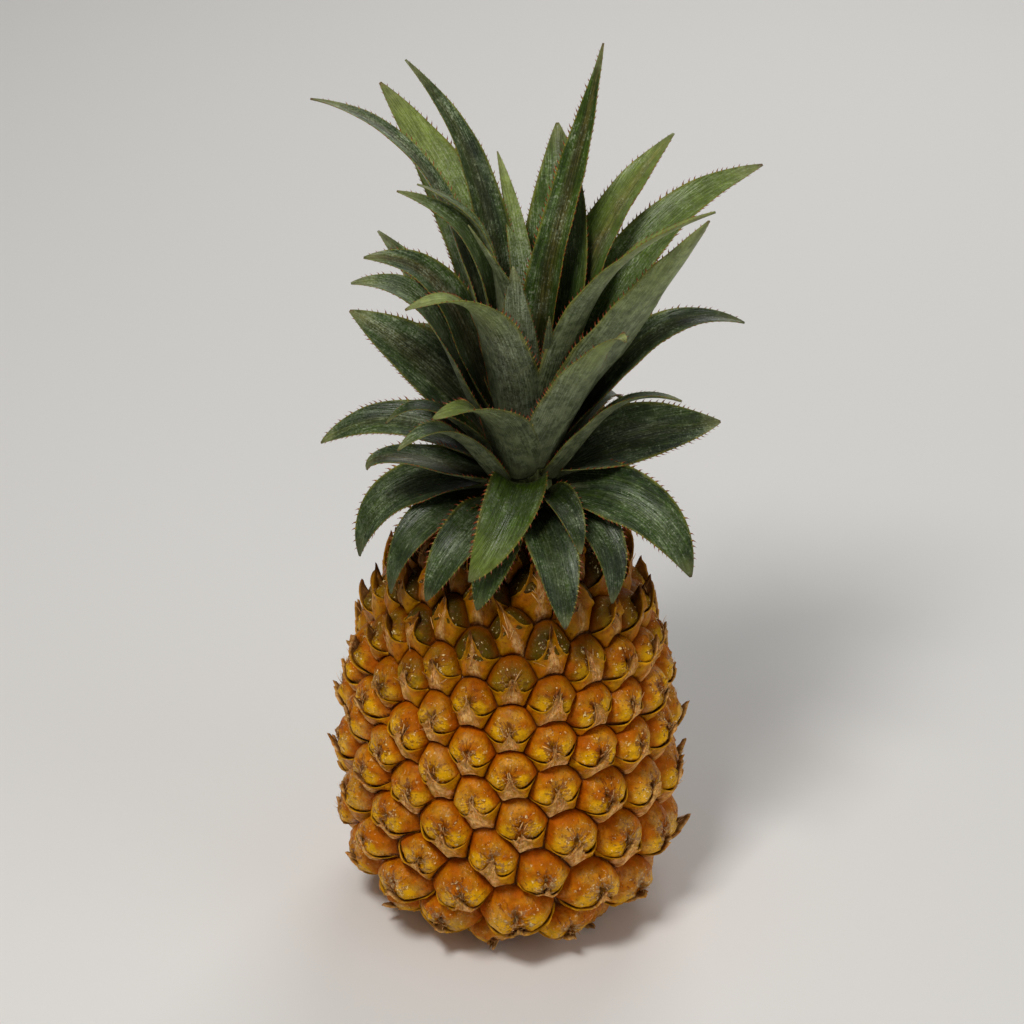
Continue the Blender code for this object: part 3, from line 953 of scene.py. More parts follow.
def make_bract(eye, noise):
    """Points of one bract's shell, section by section, and the values stored on them."""
    across, foot, lip, dry, fray, curl = bract_outline(eye, noise)
    ones = np.ones(LIP_ACROSS)
    sections = []
    masks = []
    rows = [(part, 0.0) for part in OUTSIDE] + [(part, 1.0) for part in INSIDE]
    for part, inside in rows:
        x = foot[0] + (lip[0] - foot[0]) * part
        y = foot[1] + (lip[1] - foot[1]) * part
        reach = np.clip(reach_at(eye, x, y), 0.0, 1.0 - 0.35 * dry * soft_step(y, 0.25, 0.60))
        # it leaves the groove, swells a little, and its lip stands off the dome
        height = cover_height(reach) + 0.025 * soft_step(part, 0.0, 0.3)
        height += 0.10 * soft_step(part, 0.60, 1.0) * (1.0 - dry) * (1.0 - across ** 4)
        # it's frayed and wavy, and its dry tip curls away
        height += 0.05 * fray * dry * soft_step(part, 0.55, 1.0)
        height += 0.012 * np.sin(9.0 * across + 2.0 * eye_phase[eye]) * soft_step(part, 0.1, 0.5)
        height += curl * dry * soft_step(part, 0.74, 1.0)
        height += 0.02 * dry * np.sin(17.0 * across + eye) * soft_step(part, 0.5, 0.9)
        # its foot is sunk in the groove, and its inside lies below its outside
        height -= 0.06 * (1.0 - soft_step(part, 0.0, 0.10))
        height -= inside * (0.085 + 0.10 * (1.0 - part))
        base = from_eye_map(eye, x, y)
        raised = eye_size[eye] * (height * eye_lift[eye] - RELIEF + PROUD)
        sections.append(base + raised[:, None] * skin_normal(base))
        masks.append(np.stack([dry, part * ones, x, y, inside * ones], axis=1))
    return np.stack(sections, axis=1), np.stack(masks, axis=1)


def shell_faces(start):
    """Faces of one bract whose points begin at a number: a tube, closed at both ends."""
    section = len(OUTSIDE) + len(INSIDE)
    faces = []
    for column in range(LIP_ACROSS - 1):
        for row in range(section):
            here = start + column * section + row
            above = start + column * section + (row + 1) % section
            faces.append((here, here + section, above + section, above))
    end = start + LIP_ACROSS * section
    faces.append(tuple(range(start, start + section)))
    faces.append(tuple(range(end - 1, end - section - 1, -1)))
    return faces


bract_noise = np.random.default_rng(BRACT_SEED)
points, marks, faces = [], [], []
total = 0
for eye in range(EYES):
    if eye_height[eye] < LOWEST_BRACT:
        continue
    shell, mask = make_bract(eye, bract_noise)
    count = shell.shape[0] * shell.shape[1]
    extra = np.full((count, 3), (eye * EYE_STEP, youth[eye], eye_tone[eye]))
    points.append(shell.reshape(-1, 3))
    marks.append(np.concatenate([mask.reshape(-1, 5), extra], axis=1))
    faces += shell_faces(total)
    total += count
bract_count = len(points)
bract_points = settle(np.concatenate(points))
marks = np.concatenate(marks)
bract_values = {
    "dry": marks[:, 0], "lip": marks[:, 1], "inner": marks[:, 4], "spot": marks[:, [2, 3, 5]],
    "youth": marks[:, 6], "tone": marks[:, 7],
}
print(bract_count, "bracts,", len(bract_points), "points,", len(faces), "faces")

# %% [markdown]
# A bract is two finishes in one: fleshy and golden at its sides, papery and tan along its
# middle. The dry streaks run towards the tip, so the noise that draws them is squeezed
# towards the tip as well, by dividing how far across a point is by how far it is below it.

# %% Bract finish
TIP_HIGH = 0.62                     # where in an eye's map the streaks run together


def make_bract_finish():
    """Fleshy skin with a yellow lip that carries a painted highlight, and a dry, streaky middle."""
    finish, recipe, shader = new_finish("bract_skin")
    place = recipe.place()
    across, up, seed = recipe.axes(recipe.attribute("spot", "Vector"))
    lip, dry, young, tone, inner = [
        recipe.attribute(name) for name in ("lip", "dry", "youth", "tone", "inner")
    ]
    patches = recipe.noise(place, 200.0, 3.0)
    grain = recipe.noise(place, 1100.0, 4.0)
    height = recipe.axes(place)[2]

    below = TIP_HIGH - up
    fan = across / recipe.math("MAXIMUM", below, 0.15)
    squeezed = recipe.node("ShaderNodeCombineXYZ", X=5.0 * fan, Y=up, Z=seed).outputs[0]
    streaks = recipe.noise(squeezed, 2.6, 5.0, 0.7)
    threads = use_group(recipe, fibre_group, Where=squeezed, Fineness=6.0, Sharpness=0.06)

    width = 0.10 + 0.26 * recipe.math("MAXIMUM", below, 0.0)
    width = width * recipe.ramp(young, 0.0, 1.0, 1.0, 0.45)
    papery = recipe.math("ABSOLUTE", across) / width + 3.2 * (streaks - 0.5) + 2.0 * (patches - 0.5)
    papery = recipe.ramp(papery, 0.45, 1.35, 1.0, 0.0)
    paper = recipe.layers(
        recipe.mix(recipe.ramp(streaks, 0.42, 0.58), paint(208, 126, 26), paint(244, 196, 110)),
        (0.45 * threads["Lines"], paint(252, 212, 160)),
        (recipe.ramp(streaks, 0.58, 0.66, 0.0, 0.6), paint(148, 66, 12)),
    )

    olive = 0.08 * young + 0.8 * patches + 0.14 * tone
    specks = recipe.ramp(recipe.noise(place, 760.0, 4.0, 0.65), 0.55, 0.64, 0.0, 0.6)
    # partly painted highlight: the lip is yellow, and lighter along its rim as if it caught the light
    bright = recipe.ramp(lip, 0.70, 0.95) * (1.0 - dry)
    worn = recipe.ramp(recipe.noise(place, 480.0, 4.0, 0.65), 0.40, 0.56, 0.45, 0.95)
    tip = recipe.ramp(lip * dry, 0.72, 0.98) * recipe.ramp(young, 0.0, 0.4, 0.3, 0.95)
    colour = recipe.layers(
        recipe.mix(recipe.ramp(patches, 0.35, 0.65), paint(194, 112, 0), paint(196, 136, 2)),
        (recipe.ramp(olive, 0.55, 1.15, 0.0, 0.7), paint(128, 106, 2)),
        (recipe.ramp(lip, 0.0, 0.20, 0.7, 0.0), paint(128, 62, 0)),                 # foot in the groove
        (specks, paint(134, 58, 2)),
        (0.9 * bright, paint(228, 162, 8)),
        (papery * worn, paper),
        (tip, paint(118, 60, 18)),
        # painted shade on the bract's inside, under its lip
        (0.8 * inner, paint(88, 50, 14)),
        # painted shade: bracts darken towards the crown as if its leaves shaded them
        (recipe.ramp(height, 90 * MM, 142 * MM, 0.0, 0.66), paint(84, 40, 0)),      # near the crown
    )
    mottled = use_group(recipe, mottle_group, Colour=colour, Where=place, Size=480.0, Amount=0.18)
    roughness = recipe.ramp(papery, 0.0, 1.0, 0.38, 0.75)
    recipe.surface(shader, mottled["Colour"], roughness, streaks * papery + 0.6 * grain, 0.85, 0.5 * MM)
    shader.inputs["Specular IOR Level"].default_value = 0.12
    return finish


bracts = mesh_piece("bracts", bract_points, faces, make_bract_finish(), bract_values)
print("bract piece", bracts.name)

# %% [markdown]
# ## Dry hairs
#
# Dead threads of the flower and of the bract's tip stick out round every navel, and they
# show against the light at the sides of the fruit. A thread starts on the bract or on the
# dome, mostly heads up the fruit, and bends a little as it goes.

# %% One hair
def plan_hair(eye, noise):
    """Root, heading, droop, length, thickness, breadth and turning of one dry thread."""
    y = noise.uniform(-0.52, 0.20)
    x = noise.normal(0.0, 0.05 + 0.20 * (0.20 - y))
    reach = reach_at(eye, np.array([x]), np.array([y]))
    root = from_eye_map(eye, np.array([x]), np.array([y]))[0]
    high = float(cover_height(reach)[0]) + 0.01
    root = root + eye_size[eye] * (high * eye_lift[eye] - RELIEF + PROUD) * eye_out[eye]
    lean = noise.normal(0.0, 0.7)
    flat = math.cos(lean) * eye_up[eye] + math.sin(lean) * eye_across[eye]
    rise = noise.uniform(0.05, 1.0) ** 1.6
    heading = flat + rise * eye_out[eye]
    heading /= np.linalg.norm(heading)
    droop = noise.normal(0.0, 0.5) * eye_across[eye] - noise.uniform(-0.2, 0.7) * eye_out[eye]
    length = noise.uniform(1.2, 4.6) * MM * (1.0 + 0.4 * youth[eye])
    thick = noise.uniform(0.07, 0.22) * MM
    broad = noise.uniform(1.0, 3.0)
    return root, heading, droop, length, thick, broad, math.copysign(1.0, math.cos(lean))


sample_length = plan_hair(EYES // 2, np.random.default_rng(0))[3]
print("a sample hair is", round(sample_length / MM, 1), "mm long")

# %% [markdown]
# Each thread is a flattened three-sided tube along its bent line, which is enough for
# something so thin. An eye has up to 24 of them, fewer near the crown, and the eyes close
# to the floor have none. All of them together are one piece.

# %% All hairs
HAIR_POINTS = 5
FEWEST_HAIRS, MOST_HAIRS = 14, 24
LOWEST_HAIR = 6.0 * MM
HAIR_SEED = 31


def thread_faces(start):
    """Faces of one hair whose points begin at a number: a three-sided tube with closed ends."""
    faces = []
    for step in range(HAIR_POINTS - 1):
        for corner in range(3):
            here = start + 3 * step + corner
            beside = start + 3 * step + (corner + 1) % 3
            faces.append((here + 3, beside + 3, beside, here))
    last = start + 3 * HAIR_POINTS - 1
    faces.append((start, start + 1, start + 2))
    faces.append((last, last - 1, last - 2))
    return faces


def make_hairs(noise):
    """Points, faces and shares along the hair for every dry thread on the fruit."""
    points, shares, faces = [], [], []
    for eye in range(EYES):
        if eye_height[eye] < LOWEST_HAIR:
            continue
        count = noise.integers(FEWEST_HAIRS, MOST_HAIRS + 1) * (1.0 - 0.7 * youth[eye])
        for _ in range(int(count)):
            root, heading, droop, length, thick, broad, turn = plan_hair(eye, noise)
            faces += thread_faces(len(points))
            for share in np.arange(HAIR_POINTS) / (HAIR_POINTS - 1):
                spot = root + length * (share * heading + 0.35 * share ** 2 * droop)
                girth = thick * (1.0 - 0.75 * share)
                for corner in range(3):
                    swing = turn * 2.0 * math.pi * corner / 3.0
                    sideways = broad * math.cos(swing) * eye_across[eye]
                    points.append(spot + girth * (sideways + math.sin(swing) * eye_out[eye]))
                    shares.append(share)
    return settle(np.array(points)), faces, shares


def make_straw_finish():
    """Dry brown thread, paler towards its end."""
    finish, recipe, shader = new_finish("dry_thread")
    colour = recipe.mix(recipe.attribute("share"), paint(178, 112, 44), paint(226, 184, 120))
    mottled = use_group(recipe, mottle_group, Colour=colour, Where=recipe.place(), Size=300.0, Amount=0.4)
    recipe.wire(shader.inputs["Base Color"], mottled["Colour"])
    recipe.wire(shader.inputs["Roughness"], recipe.ramp(mottled["Mask"], 0.3, 0.7, 0.6, 0.85))
    return finish


hair_points, hair_faces, hair_shares = make_hairs(np.random.default_rng(HAIR_SEED))
mesh_piece("dry_hairs", hair_points, hair_faces, make_straw_finish(), {"share": hair_shares})
print(len(hair_points) // (3 * HAIR_POINTS), "hairs")

# %% [markdown]
# ## The crown: how its leaves run
#
# The crown's leaves sit on its stem in a spiral too, the oldest and shortest at the bottom,
# bent down over the fruit, and the youngest upright in the middle. Each row of the table
# places one leaf: where it leaves the stem, where its tip ends up, how wide it is, and how
# steeply it starts and ends. A smooth curve through those gives the middle line of the leaf.

# %% Leaf table
# angles in degrees and lengths in mm; `bend` is how much of the curve's far handle is used
Leaf = namedtuple("Leaf", (
    "base_azimuth", "tip_azimuth", "base_height", "reach", "tip_height", "width",
    "base_slope", "tip_slope", "roll", "bend",
))
LEAVES = [Leaf(*row) for row in (
    (16, 16, 150.0, 49, 129, 17.5, 22, -75, 0, 1.0),
    (-35, -42, 150.0, 45, 131, 15.5, 18, -72, -15, 1.0),
    (54, 39, 150.4, 45, 131, 14.0, 18, -80, 10, 1.0),
    (-68, -60, 150.6, 48, 128, 15.0, 12, -78, -15, 1.0),
    (104, 100, 151.0, 30, 153, 9.0, 50, -80, 0, 1.0),
    (-116, -105, 151.0, 42, 153, 12.0, 26, -35, -20, 1.0),
    (150, 150, 150.8, 47, 138, 16.0, 25, -60, 0, 1.0),
    (-150, -150, 151.0, 49, 134, 16.0, 20, -65, 0, 1.0),
    (180, 178, 153.0, 50, 148, 16.0, 36, -50, 0, 1.0),
    (-10, -21, 153.4, 40, 130, 16.5, 46, -80, 0, 1.0),
    (-88, -80, 155.0, 53, 133, 17.0, 16, -85, -30, 1.0),
    (30, 27, 153.6, 40, 149.5, 12.0, 60, -62, 0, 1.0),
    (68, 60, 154.0, 61, 138, 20.0, 20, -62, 35, 1.0),
    (-130, -130, 154.8, 56, 154, 16.0, 36, -40, 0, 1.0),
    (128, 128, 154.6, 56, 160, 17.0, 34, -25, 0, 1.0),
    (0, -24, 157.4, 42, 141, 18.0, 76, -70, 0, 1.0),
    (-70, -75, 157.3, 51, 167, 16.0, 32, -85, -10, 0.6),
    (94, 100, 158.2, 64, 171, 22.0, 36, -2, 40, 1.0),
    (-104, -100, 160.0, 66, 163, 15.0, 40, -40, -30, 1.0),
    (-45, -48, 158.6, 52, 186, 12.0, 54, -30, 0, 1.0),
    (163, 166, 158.8, 60, 176, 17.0, 50, -15, 0, 1.0),
    (62, 70, 160.4, 52, 194, 12.0, 52, -15, 0, 1.0),
    (-145, -145, 160.6, 62, 186, 17.0, 50, -5, 0, 1.0),
    (-14, -42, 162.2, 42, 195, 19.0, 72, -38, 0, 0.8),
    (128, 125, 162.0, 38, 174, 17.0, 56, -50, 10, 1.0),
    (-67, -70, 163.0, 46, 185, 11.0, 62, -48, 0, 1.0),
    (94, 95, 165.6, 69, 209, 16.0, 56, -22, 25, 1.0),
    (38, 38, 165.4, 49, 225, 22.0, 66, -62, 0, 0.3),
    (-116, -110, 165.8, 59, 206, 20.0, 50, 28, -30, 1.0),
    (-179, -160, 167.8, 48, 222, 16.0, 66, 30, 0, 1.0),
    (-17, -48, 169.6, 49, 233, 24.0, 86, -28, 0, 0.8),
    (69, 75, 169.8, 57, 254, 20.0, 64, 58, -35, 1.0),
    (-82, -85, 169.0, 54, 228, 14.0, 57, -8, -15, 1.0),
    (121, 115, 171.0, 82, 250, 17.0, 62, 12, 15, 1.0),
    (-102, -98, 173.0, 51, 231, 14.0, 66, -8, -25, 1.0),
    (48, 62, 174.0, 63, 264, 13.0, 75, 28, 0, 1.0),
    (-127, -125, 170.0, 57, 228, 13.0, 54, 35, 0, 1.0),
    (30, 17, 179.0, 22, 225, 4.6, 80, 70, 0, 1.0),
    (-11, -18, 176.6, 14, 238, 9.0, 81, 85, 0, 1.0),
    (-108, -110, 177.0, 71, 277, 14.0, 76, 2, 0, 1.0),
    (130, 130, 177.0, 60, 259, 18.0, 70, 32, 0, 1.0),
    (-76, -90, 180.2, 40, 257, 13.0, 77, 14, -25, 1.0),
    (165, 168, 172.4, 38, 248, 11.5, 64, 60, 0, 1.0),
    (-158, -135, 175.2, 65, 273, 17.0, 67, 54, 0, 1.0),
    (-70, -84, 183.4, 34, 261, 10.0, 78, 22, 0, 1.0),
    (-16, -54, 189.4, 23, 252, 5.5, 89, 66, 0, 1.0),
    (147, 143, 192.0, 37, 293, 16.0, 86, 76, 0, 1.0),
    (-146, -125, 183.0, 46, 289, 11.5, 71, 44, 0, 1.0),
    (-172, -162, 187.4, 32, 256.5, 7.5, 86, 52, 0, 1.0),
    (146, 167, 181.0, 41, 262, 12.0, 76, 60, 0, 1.0),
)]
print(len(LEAVES), "leaves,", sum(leaf.tip_slope < 0 for leaf in LEAVES), "with drooping tips")

# %% [markdown]
# The curve is a Bezier: two ends and two handles. It is worked out level and upright first,
# then swung round the stem from the base's azimuth to the tip's. The stem leans and narrows
# as it rises, and each leaf has to start on it.

# %% Leaf lines
STEM_FOOT, STEM_TIP, STEM_HALF = 148.3, 196.0, (10.5, 1.8)
STEM_OFFSET, STEM_LEAN = 4.0, 0.06
START_OUT = 1.4                     # a leaf's line starts this far outside the stem, in mm
HANDLE = 0.42
CURVE_POINTS, SECTIONS = 161, 58


def outward(azimuth):
    """The level direction at an azimuth in degrees; 0 faces the camera, and 90 is to its right."""
    swing = np.radians(azimuth)
    return np.stack([np.sin(swing), -np.cos(swing), np.zeros_like(swing)], axis=-1)


def leaf_line(leaf):
    """Even points along the middle of a leaf in metres, their azimuths, and the leaf's length."""
    up_stem = (leaf.base_height - STEM_FOOT) / (STEM_TIP - STEM_FOOT)
    stem_half = STEM_HALF[0] + up_stem * (STEM_HALF[1] - STEM_HALF[0])
    start = np.array([stem_half + START_OUT, leaf.base_height])
    end = np.array([leaf.reach, leaf.tip_height])
    handle = HANDLE * np.linalg.norm(end - start)
    first_slope, last_slope = math.radians(leaf.base_slope), math.radians(leaf.tip_slope)
    first = start + handle * np.array([math.cos(first_slope), math.sin(first_slope)])
    second = end - leaf.bend * handle * np.array([math.cos(last_slope), math.sin(last_slope)])
    part = np.linspace(0.0, 1.0, CURVE_POINTS)
    t = part[:, None]
    curve = (1 - t) ** 3 * start + 3 * (1 - t) ** 2 * t * first
    curve = curve + 3 * (1 - t) * t ** 2 * second + t ** 3 * end
    # the shorter way round from the base's azimuth to the tip's
    swing = (leaf.tip_azimuth - leaf.base_azimuth + 180.0) % 360.0 - 180.0
    azimuths = leaf.base_azimuth + swing * part ** 1.5
    path = curve[:, :1] * outward(azimuths)
    path[:, 0] += STEM_OFFSET + STEM_LEAN * (leaf.base_height - STEM_FOOT)
    path[:, 2] = curve[:, 1]
    run = np.concatenate([[0.0], np.cumsum(np.linalg.norm(np.diff(path, axis=0), axis=1))])
    places = np.linspace(0.0, run[-1], SECTIONS)
    line = np.stack([np.interp(places, run, path[:, axis]) for axis in range(3)], axis=1)
    return line * MM, np.interp(places, run, azimuths), run[-1] * MM


lengths = [leaf_line(leaf)[2] / MM for leaf in LEAVES]
print("leaves from", round(min(lengths)), "to", round(max(lengths)), "mm long")

# %% [markdown]
# ## The shape of a leaf
#
# A pineapple leaf clasps the stem with a broad base, is channelled like a gutter, and thins
# from a stiff middle to sharp edges. The blade is a closed loft: at each place along the
# middle line, a curved section with an upper and a lower side. The edges wander a little,
# because no real blade is ruled straight.

# %% Leaf blades
BLADE_ACROSS = 13
ACROSS = np.sin(0.5 * math.pi * np.linspace(-1.0, 1.0, BLADE_ACROSS))
SPREAD = 1.12                       # blades are broader than the solid ones, which never touch
BROADER = {
    25: 1.3, 29: 1.2, 31: 0.78, 32: 1.2, 33: 1.35, 34: 1.2, 35: 1.3, 36: 1.3, 37: 1.3, 39: 1.5, 40: 0.8,
    41: 1.2, 44: 1.5, 46: 1.5, 47: 0.78, 48: 1.25, 49: 1.15, 50: 2.2,
}
QUICK_WAVES, SLOW_WAVES = (2.7 * MM, 3.1 * MM), (9.0 * MM, 8.0 * MM)    # one edge, the other
Shape = namedtuple("Shape", ("line", "along", "across", "inner", "half", "bend", "share", "length"))


def blade_width(share):
    """Width of a blade along its length, as a share of its full width."""
    neck = 0.66 + 0.34 * np.sin(0.5 * math.pi * np.clip(share / 0.30, 0.0, 1.0))
    return 0.03 + 0.97 * neck * np.clip(1.0 - share ** 2.7, 0.0, 1.0) ** 0.95


def leaf_shape(leaf, spread, noise):
    """Middle line, the three directions at each place on it, half widths, bends and shares."""
    line, azimuths, length = leaf_line(leaf)
    share = np.linspace(0.0, 1.0, SECTIONS)
    along = np.gradient(line, axis=0)
    along /= np.linalg.norm(along, axis=1, keepdims=True)
    across = outward(azimuths + 90.0)
    across -= (across * along).sum(axis=1, keepdims=True) * along
    across /= np.linalg.norm(across, axis=1, keepdims=True)
    inner = np.cross(along, across)
    roll = math.radians(leaf.roll) * np.clip(share / 0.4, 0.0, 1.0) + noise.normal(0.0, 0.10) * share
    roll = roll[:, None]
    rolled = np.cos(roll) * across + np.sin(roll) * inner
    inner = np.cos(roll) * inner - np.sin(roll) * across
    half = 0.5 * leaf.width * spread * MM * blade_width(share)
    bend = np.radians(np.interp(share, [0.0, 0.12, 0.5, 1.0], [72.0, 52.0, 36.0, 22.0]))
    return Shape(line, along, rolled, inner, half, bend, share, length)


def edge_wave(run, lengths, shifts):
    """A wave along a blade that has its own length and shift on either side."""
    return np.where(ACROSS < 0, np.sin(run / lengths[0] + shifts[0]), np.sin(run / lengths[1] + shifts[1]))


def blade_points(shape, width, phases):
    """Upper and lower points of a blade by section and place across, and which way it faces."""
    across, inner = shape.across[:, None], shape.inner[:, None]
    angle = shape.bend[:, None] * ACROSS
    radius = (shape.half / shape.bend)[:, None]
    fade = np.sin(math.pi * np.clip(shape.share, 0.02, 1.0))[:, None] ** 0.5
    run = shape.share[:, None] * shape.length
    flutter = 0.16 * edge_wave(run, QUICK_WAVES, phases[:2]) + 0.50 * edge_wave(run, SLOW_WAVES, phases[2:])
    flutter = flutter * MM * fade * np.abs(ACROSS) ** 2.2 * np.clip(width / 16.0, 0.4, 1.2)
    lift = radius * (1.0 - np.cos(angle)) + flutter
    upper = shape.line[:, None] + (radius * np.sin(angle))[..., None] * across + lift[..., None] * inner
    facing = np.cos(angle)[..., None] * inner - np.sin(angle)[..., None] * across
    middle_thick = (1.7 - 1.1 * shape.share ** 0.8) * MM * min(1.0, width / 12.0)
    edge_thick = (0.34 - 0.14 * shape.share) * MM
    depth = edge_thick[:, None] + (middle_thick - edge_thick)[:, None] * (1.0 - np.abs(ACROSS) ** 1.6)
    ribs = 0.05 * MM * np.cos(ACROSS * 5.5 * math.pi) * (1.0 - np.abs(ACROSS))
    return upper, upper - (depth + ribs)[..., None] * facing, facing


def blade_faces():
    """Faces of a blade: its sections joined into a tube that is closed at both ends."""
    size = 2 * BLADE_ACROSS
    faces = [tuple(range(size))[::-1], tuple(range((SECTIONS - 1) * size, SECTIONS * size))]
    for row in range(SECTIONS - 1):
        for column in range(size):
            here, beside = row * size + column, row * size + (column + 1) % size
            faces.append((here, beside, beside + size, here + size))
    return faces


print("blade sections", SECTIONS, "of", 2 * BLADE_ACROSS, "points")

# %% [markdown]
# Both edges carry small hooked spines that point to the tip. Each is a small curved cone
# that starts inside the edge, so it can't come loose. The two edges keep their own spacing,
# and the hooks are smaller at both ends of the leaf.

# %% Hooks
HOOK_STEPS = np.array([0.0, 0.35, 0.70])
HOOK_SIZE = 4 * len(HOOK_STEPS) + 1
HOOK_SPACING = 1.9 * MM
HOOK_ROOT = 0.35 * MM
HOOK_CORNERS = ((-1, 0), (0, 1), (1, 0), (0, -1))


def at_share(values, share):
    """A place or a direction at a share of a leaf's length, from those at its sections."""
    where = share * (SECTIONS - 1)
    return np.array([np.interp(where, np.arange(SECTIONS), values[:, axis]) for axis in range(3)])


def make_hooks(shape, upper, lower, facing, width, noise):
    """Points of the hooks on both edges; with each, its share of the hook, its place and side."""
    points, places = [], []
    for edge, side in ((0, -1.0), (-1, 1.0)):
        rim = 0.5 * (upper[:, edge] + lower[:, edge])
        level = np.cos(shape.bend)[:, None] * shape.across
        away = side * level + np.sin(shape.bend)[:, None] * shape.inner
        spot = noise.uniform(4.0, 7.0) * MM
        while spot < shape.length - 1.5 * MM:
            share = spot / shape.length
            root, forward, out, up = (
                at_share(values, share) for values in (rim, shape.along, away, facing[:, edge])
            )
            small = np.interp(share, [0.0, 0.15, 0.5, 0.85, 1.0], [0.6, 0.9, 1.0, 0.85, 0.5])
            size = small * noise.uniform(0.90, 1.50) * MM * np.clip(width / 14.0, 0.75, 1.15)
            wide, thick = 0.36 * size, 0.17 * size
            for step in HOOK_STEPS:
                centre = root + (step * size - HOOK_ROOT) * out + (0.95 * step ** 1.6 * size) * forward
                taper = 1.0 - 0.80 * step
                for ahead, above in HOOK_CORNERS:
                    points.append(centre + taper * (wide * ahead * forward + side * thick * above * up))
                    places.append((step, spot, side))
            points.append(root + (size - HOOK_ROOT) * out + 1.15 * size * forward + 0.10 * size * up)
            places.append((1.0, spot, side))
            spot += HOOK_SPACING * noise.uniform(0.65, 1.3)
    return points, np.array(places)


def hook_faces(start):
    """Faces of one hook whose points begin at a number."""
    rings = len(HOOK_STEPS)
    faces = [(start + 3, start + 2, start + 1, start)]
    for ring_number in range(rings - 1):
        for corner in range(4):
            here, beside = start + 4 * ring_number + corner, start + 4 * ring_number + (corner + 1) % 4
            faces.append((here, beside, beside + 4, here + 4))
    last = start + 4 * (rings - 1)
    faces += [(last + corner, last + (corner + 1) % 4, start + 4 * rings) for corner in range(4)]
    return faces


print("a hook has", HOOK_SIZE, "points and", len(hook_faces(0)), "faces")

# %% [markdown]
# ## The finish of a leaf
#
# Each leaf carries its own three numbers: how light it is, which is partly its own tone and
# partly painted light and shade, how red-brown its middle has dried, and how thick its pale
# bloom lies. On top of those the recipe adds what all the leaves share. Thin lines run
# lengthwise, because the veins do. The underside is paler and silvery, and tiny pale scales
# lie on both sides. Light leaves get a painted highlight towards their tips. The base is
# whitish, where light never reached it, and blades deep in the crown or low on it are
# darkened with painted shade. The edges and tips go yellow, and the hooks end in red-brown
# points.

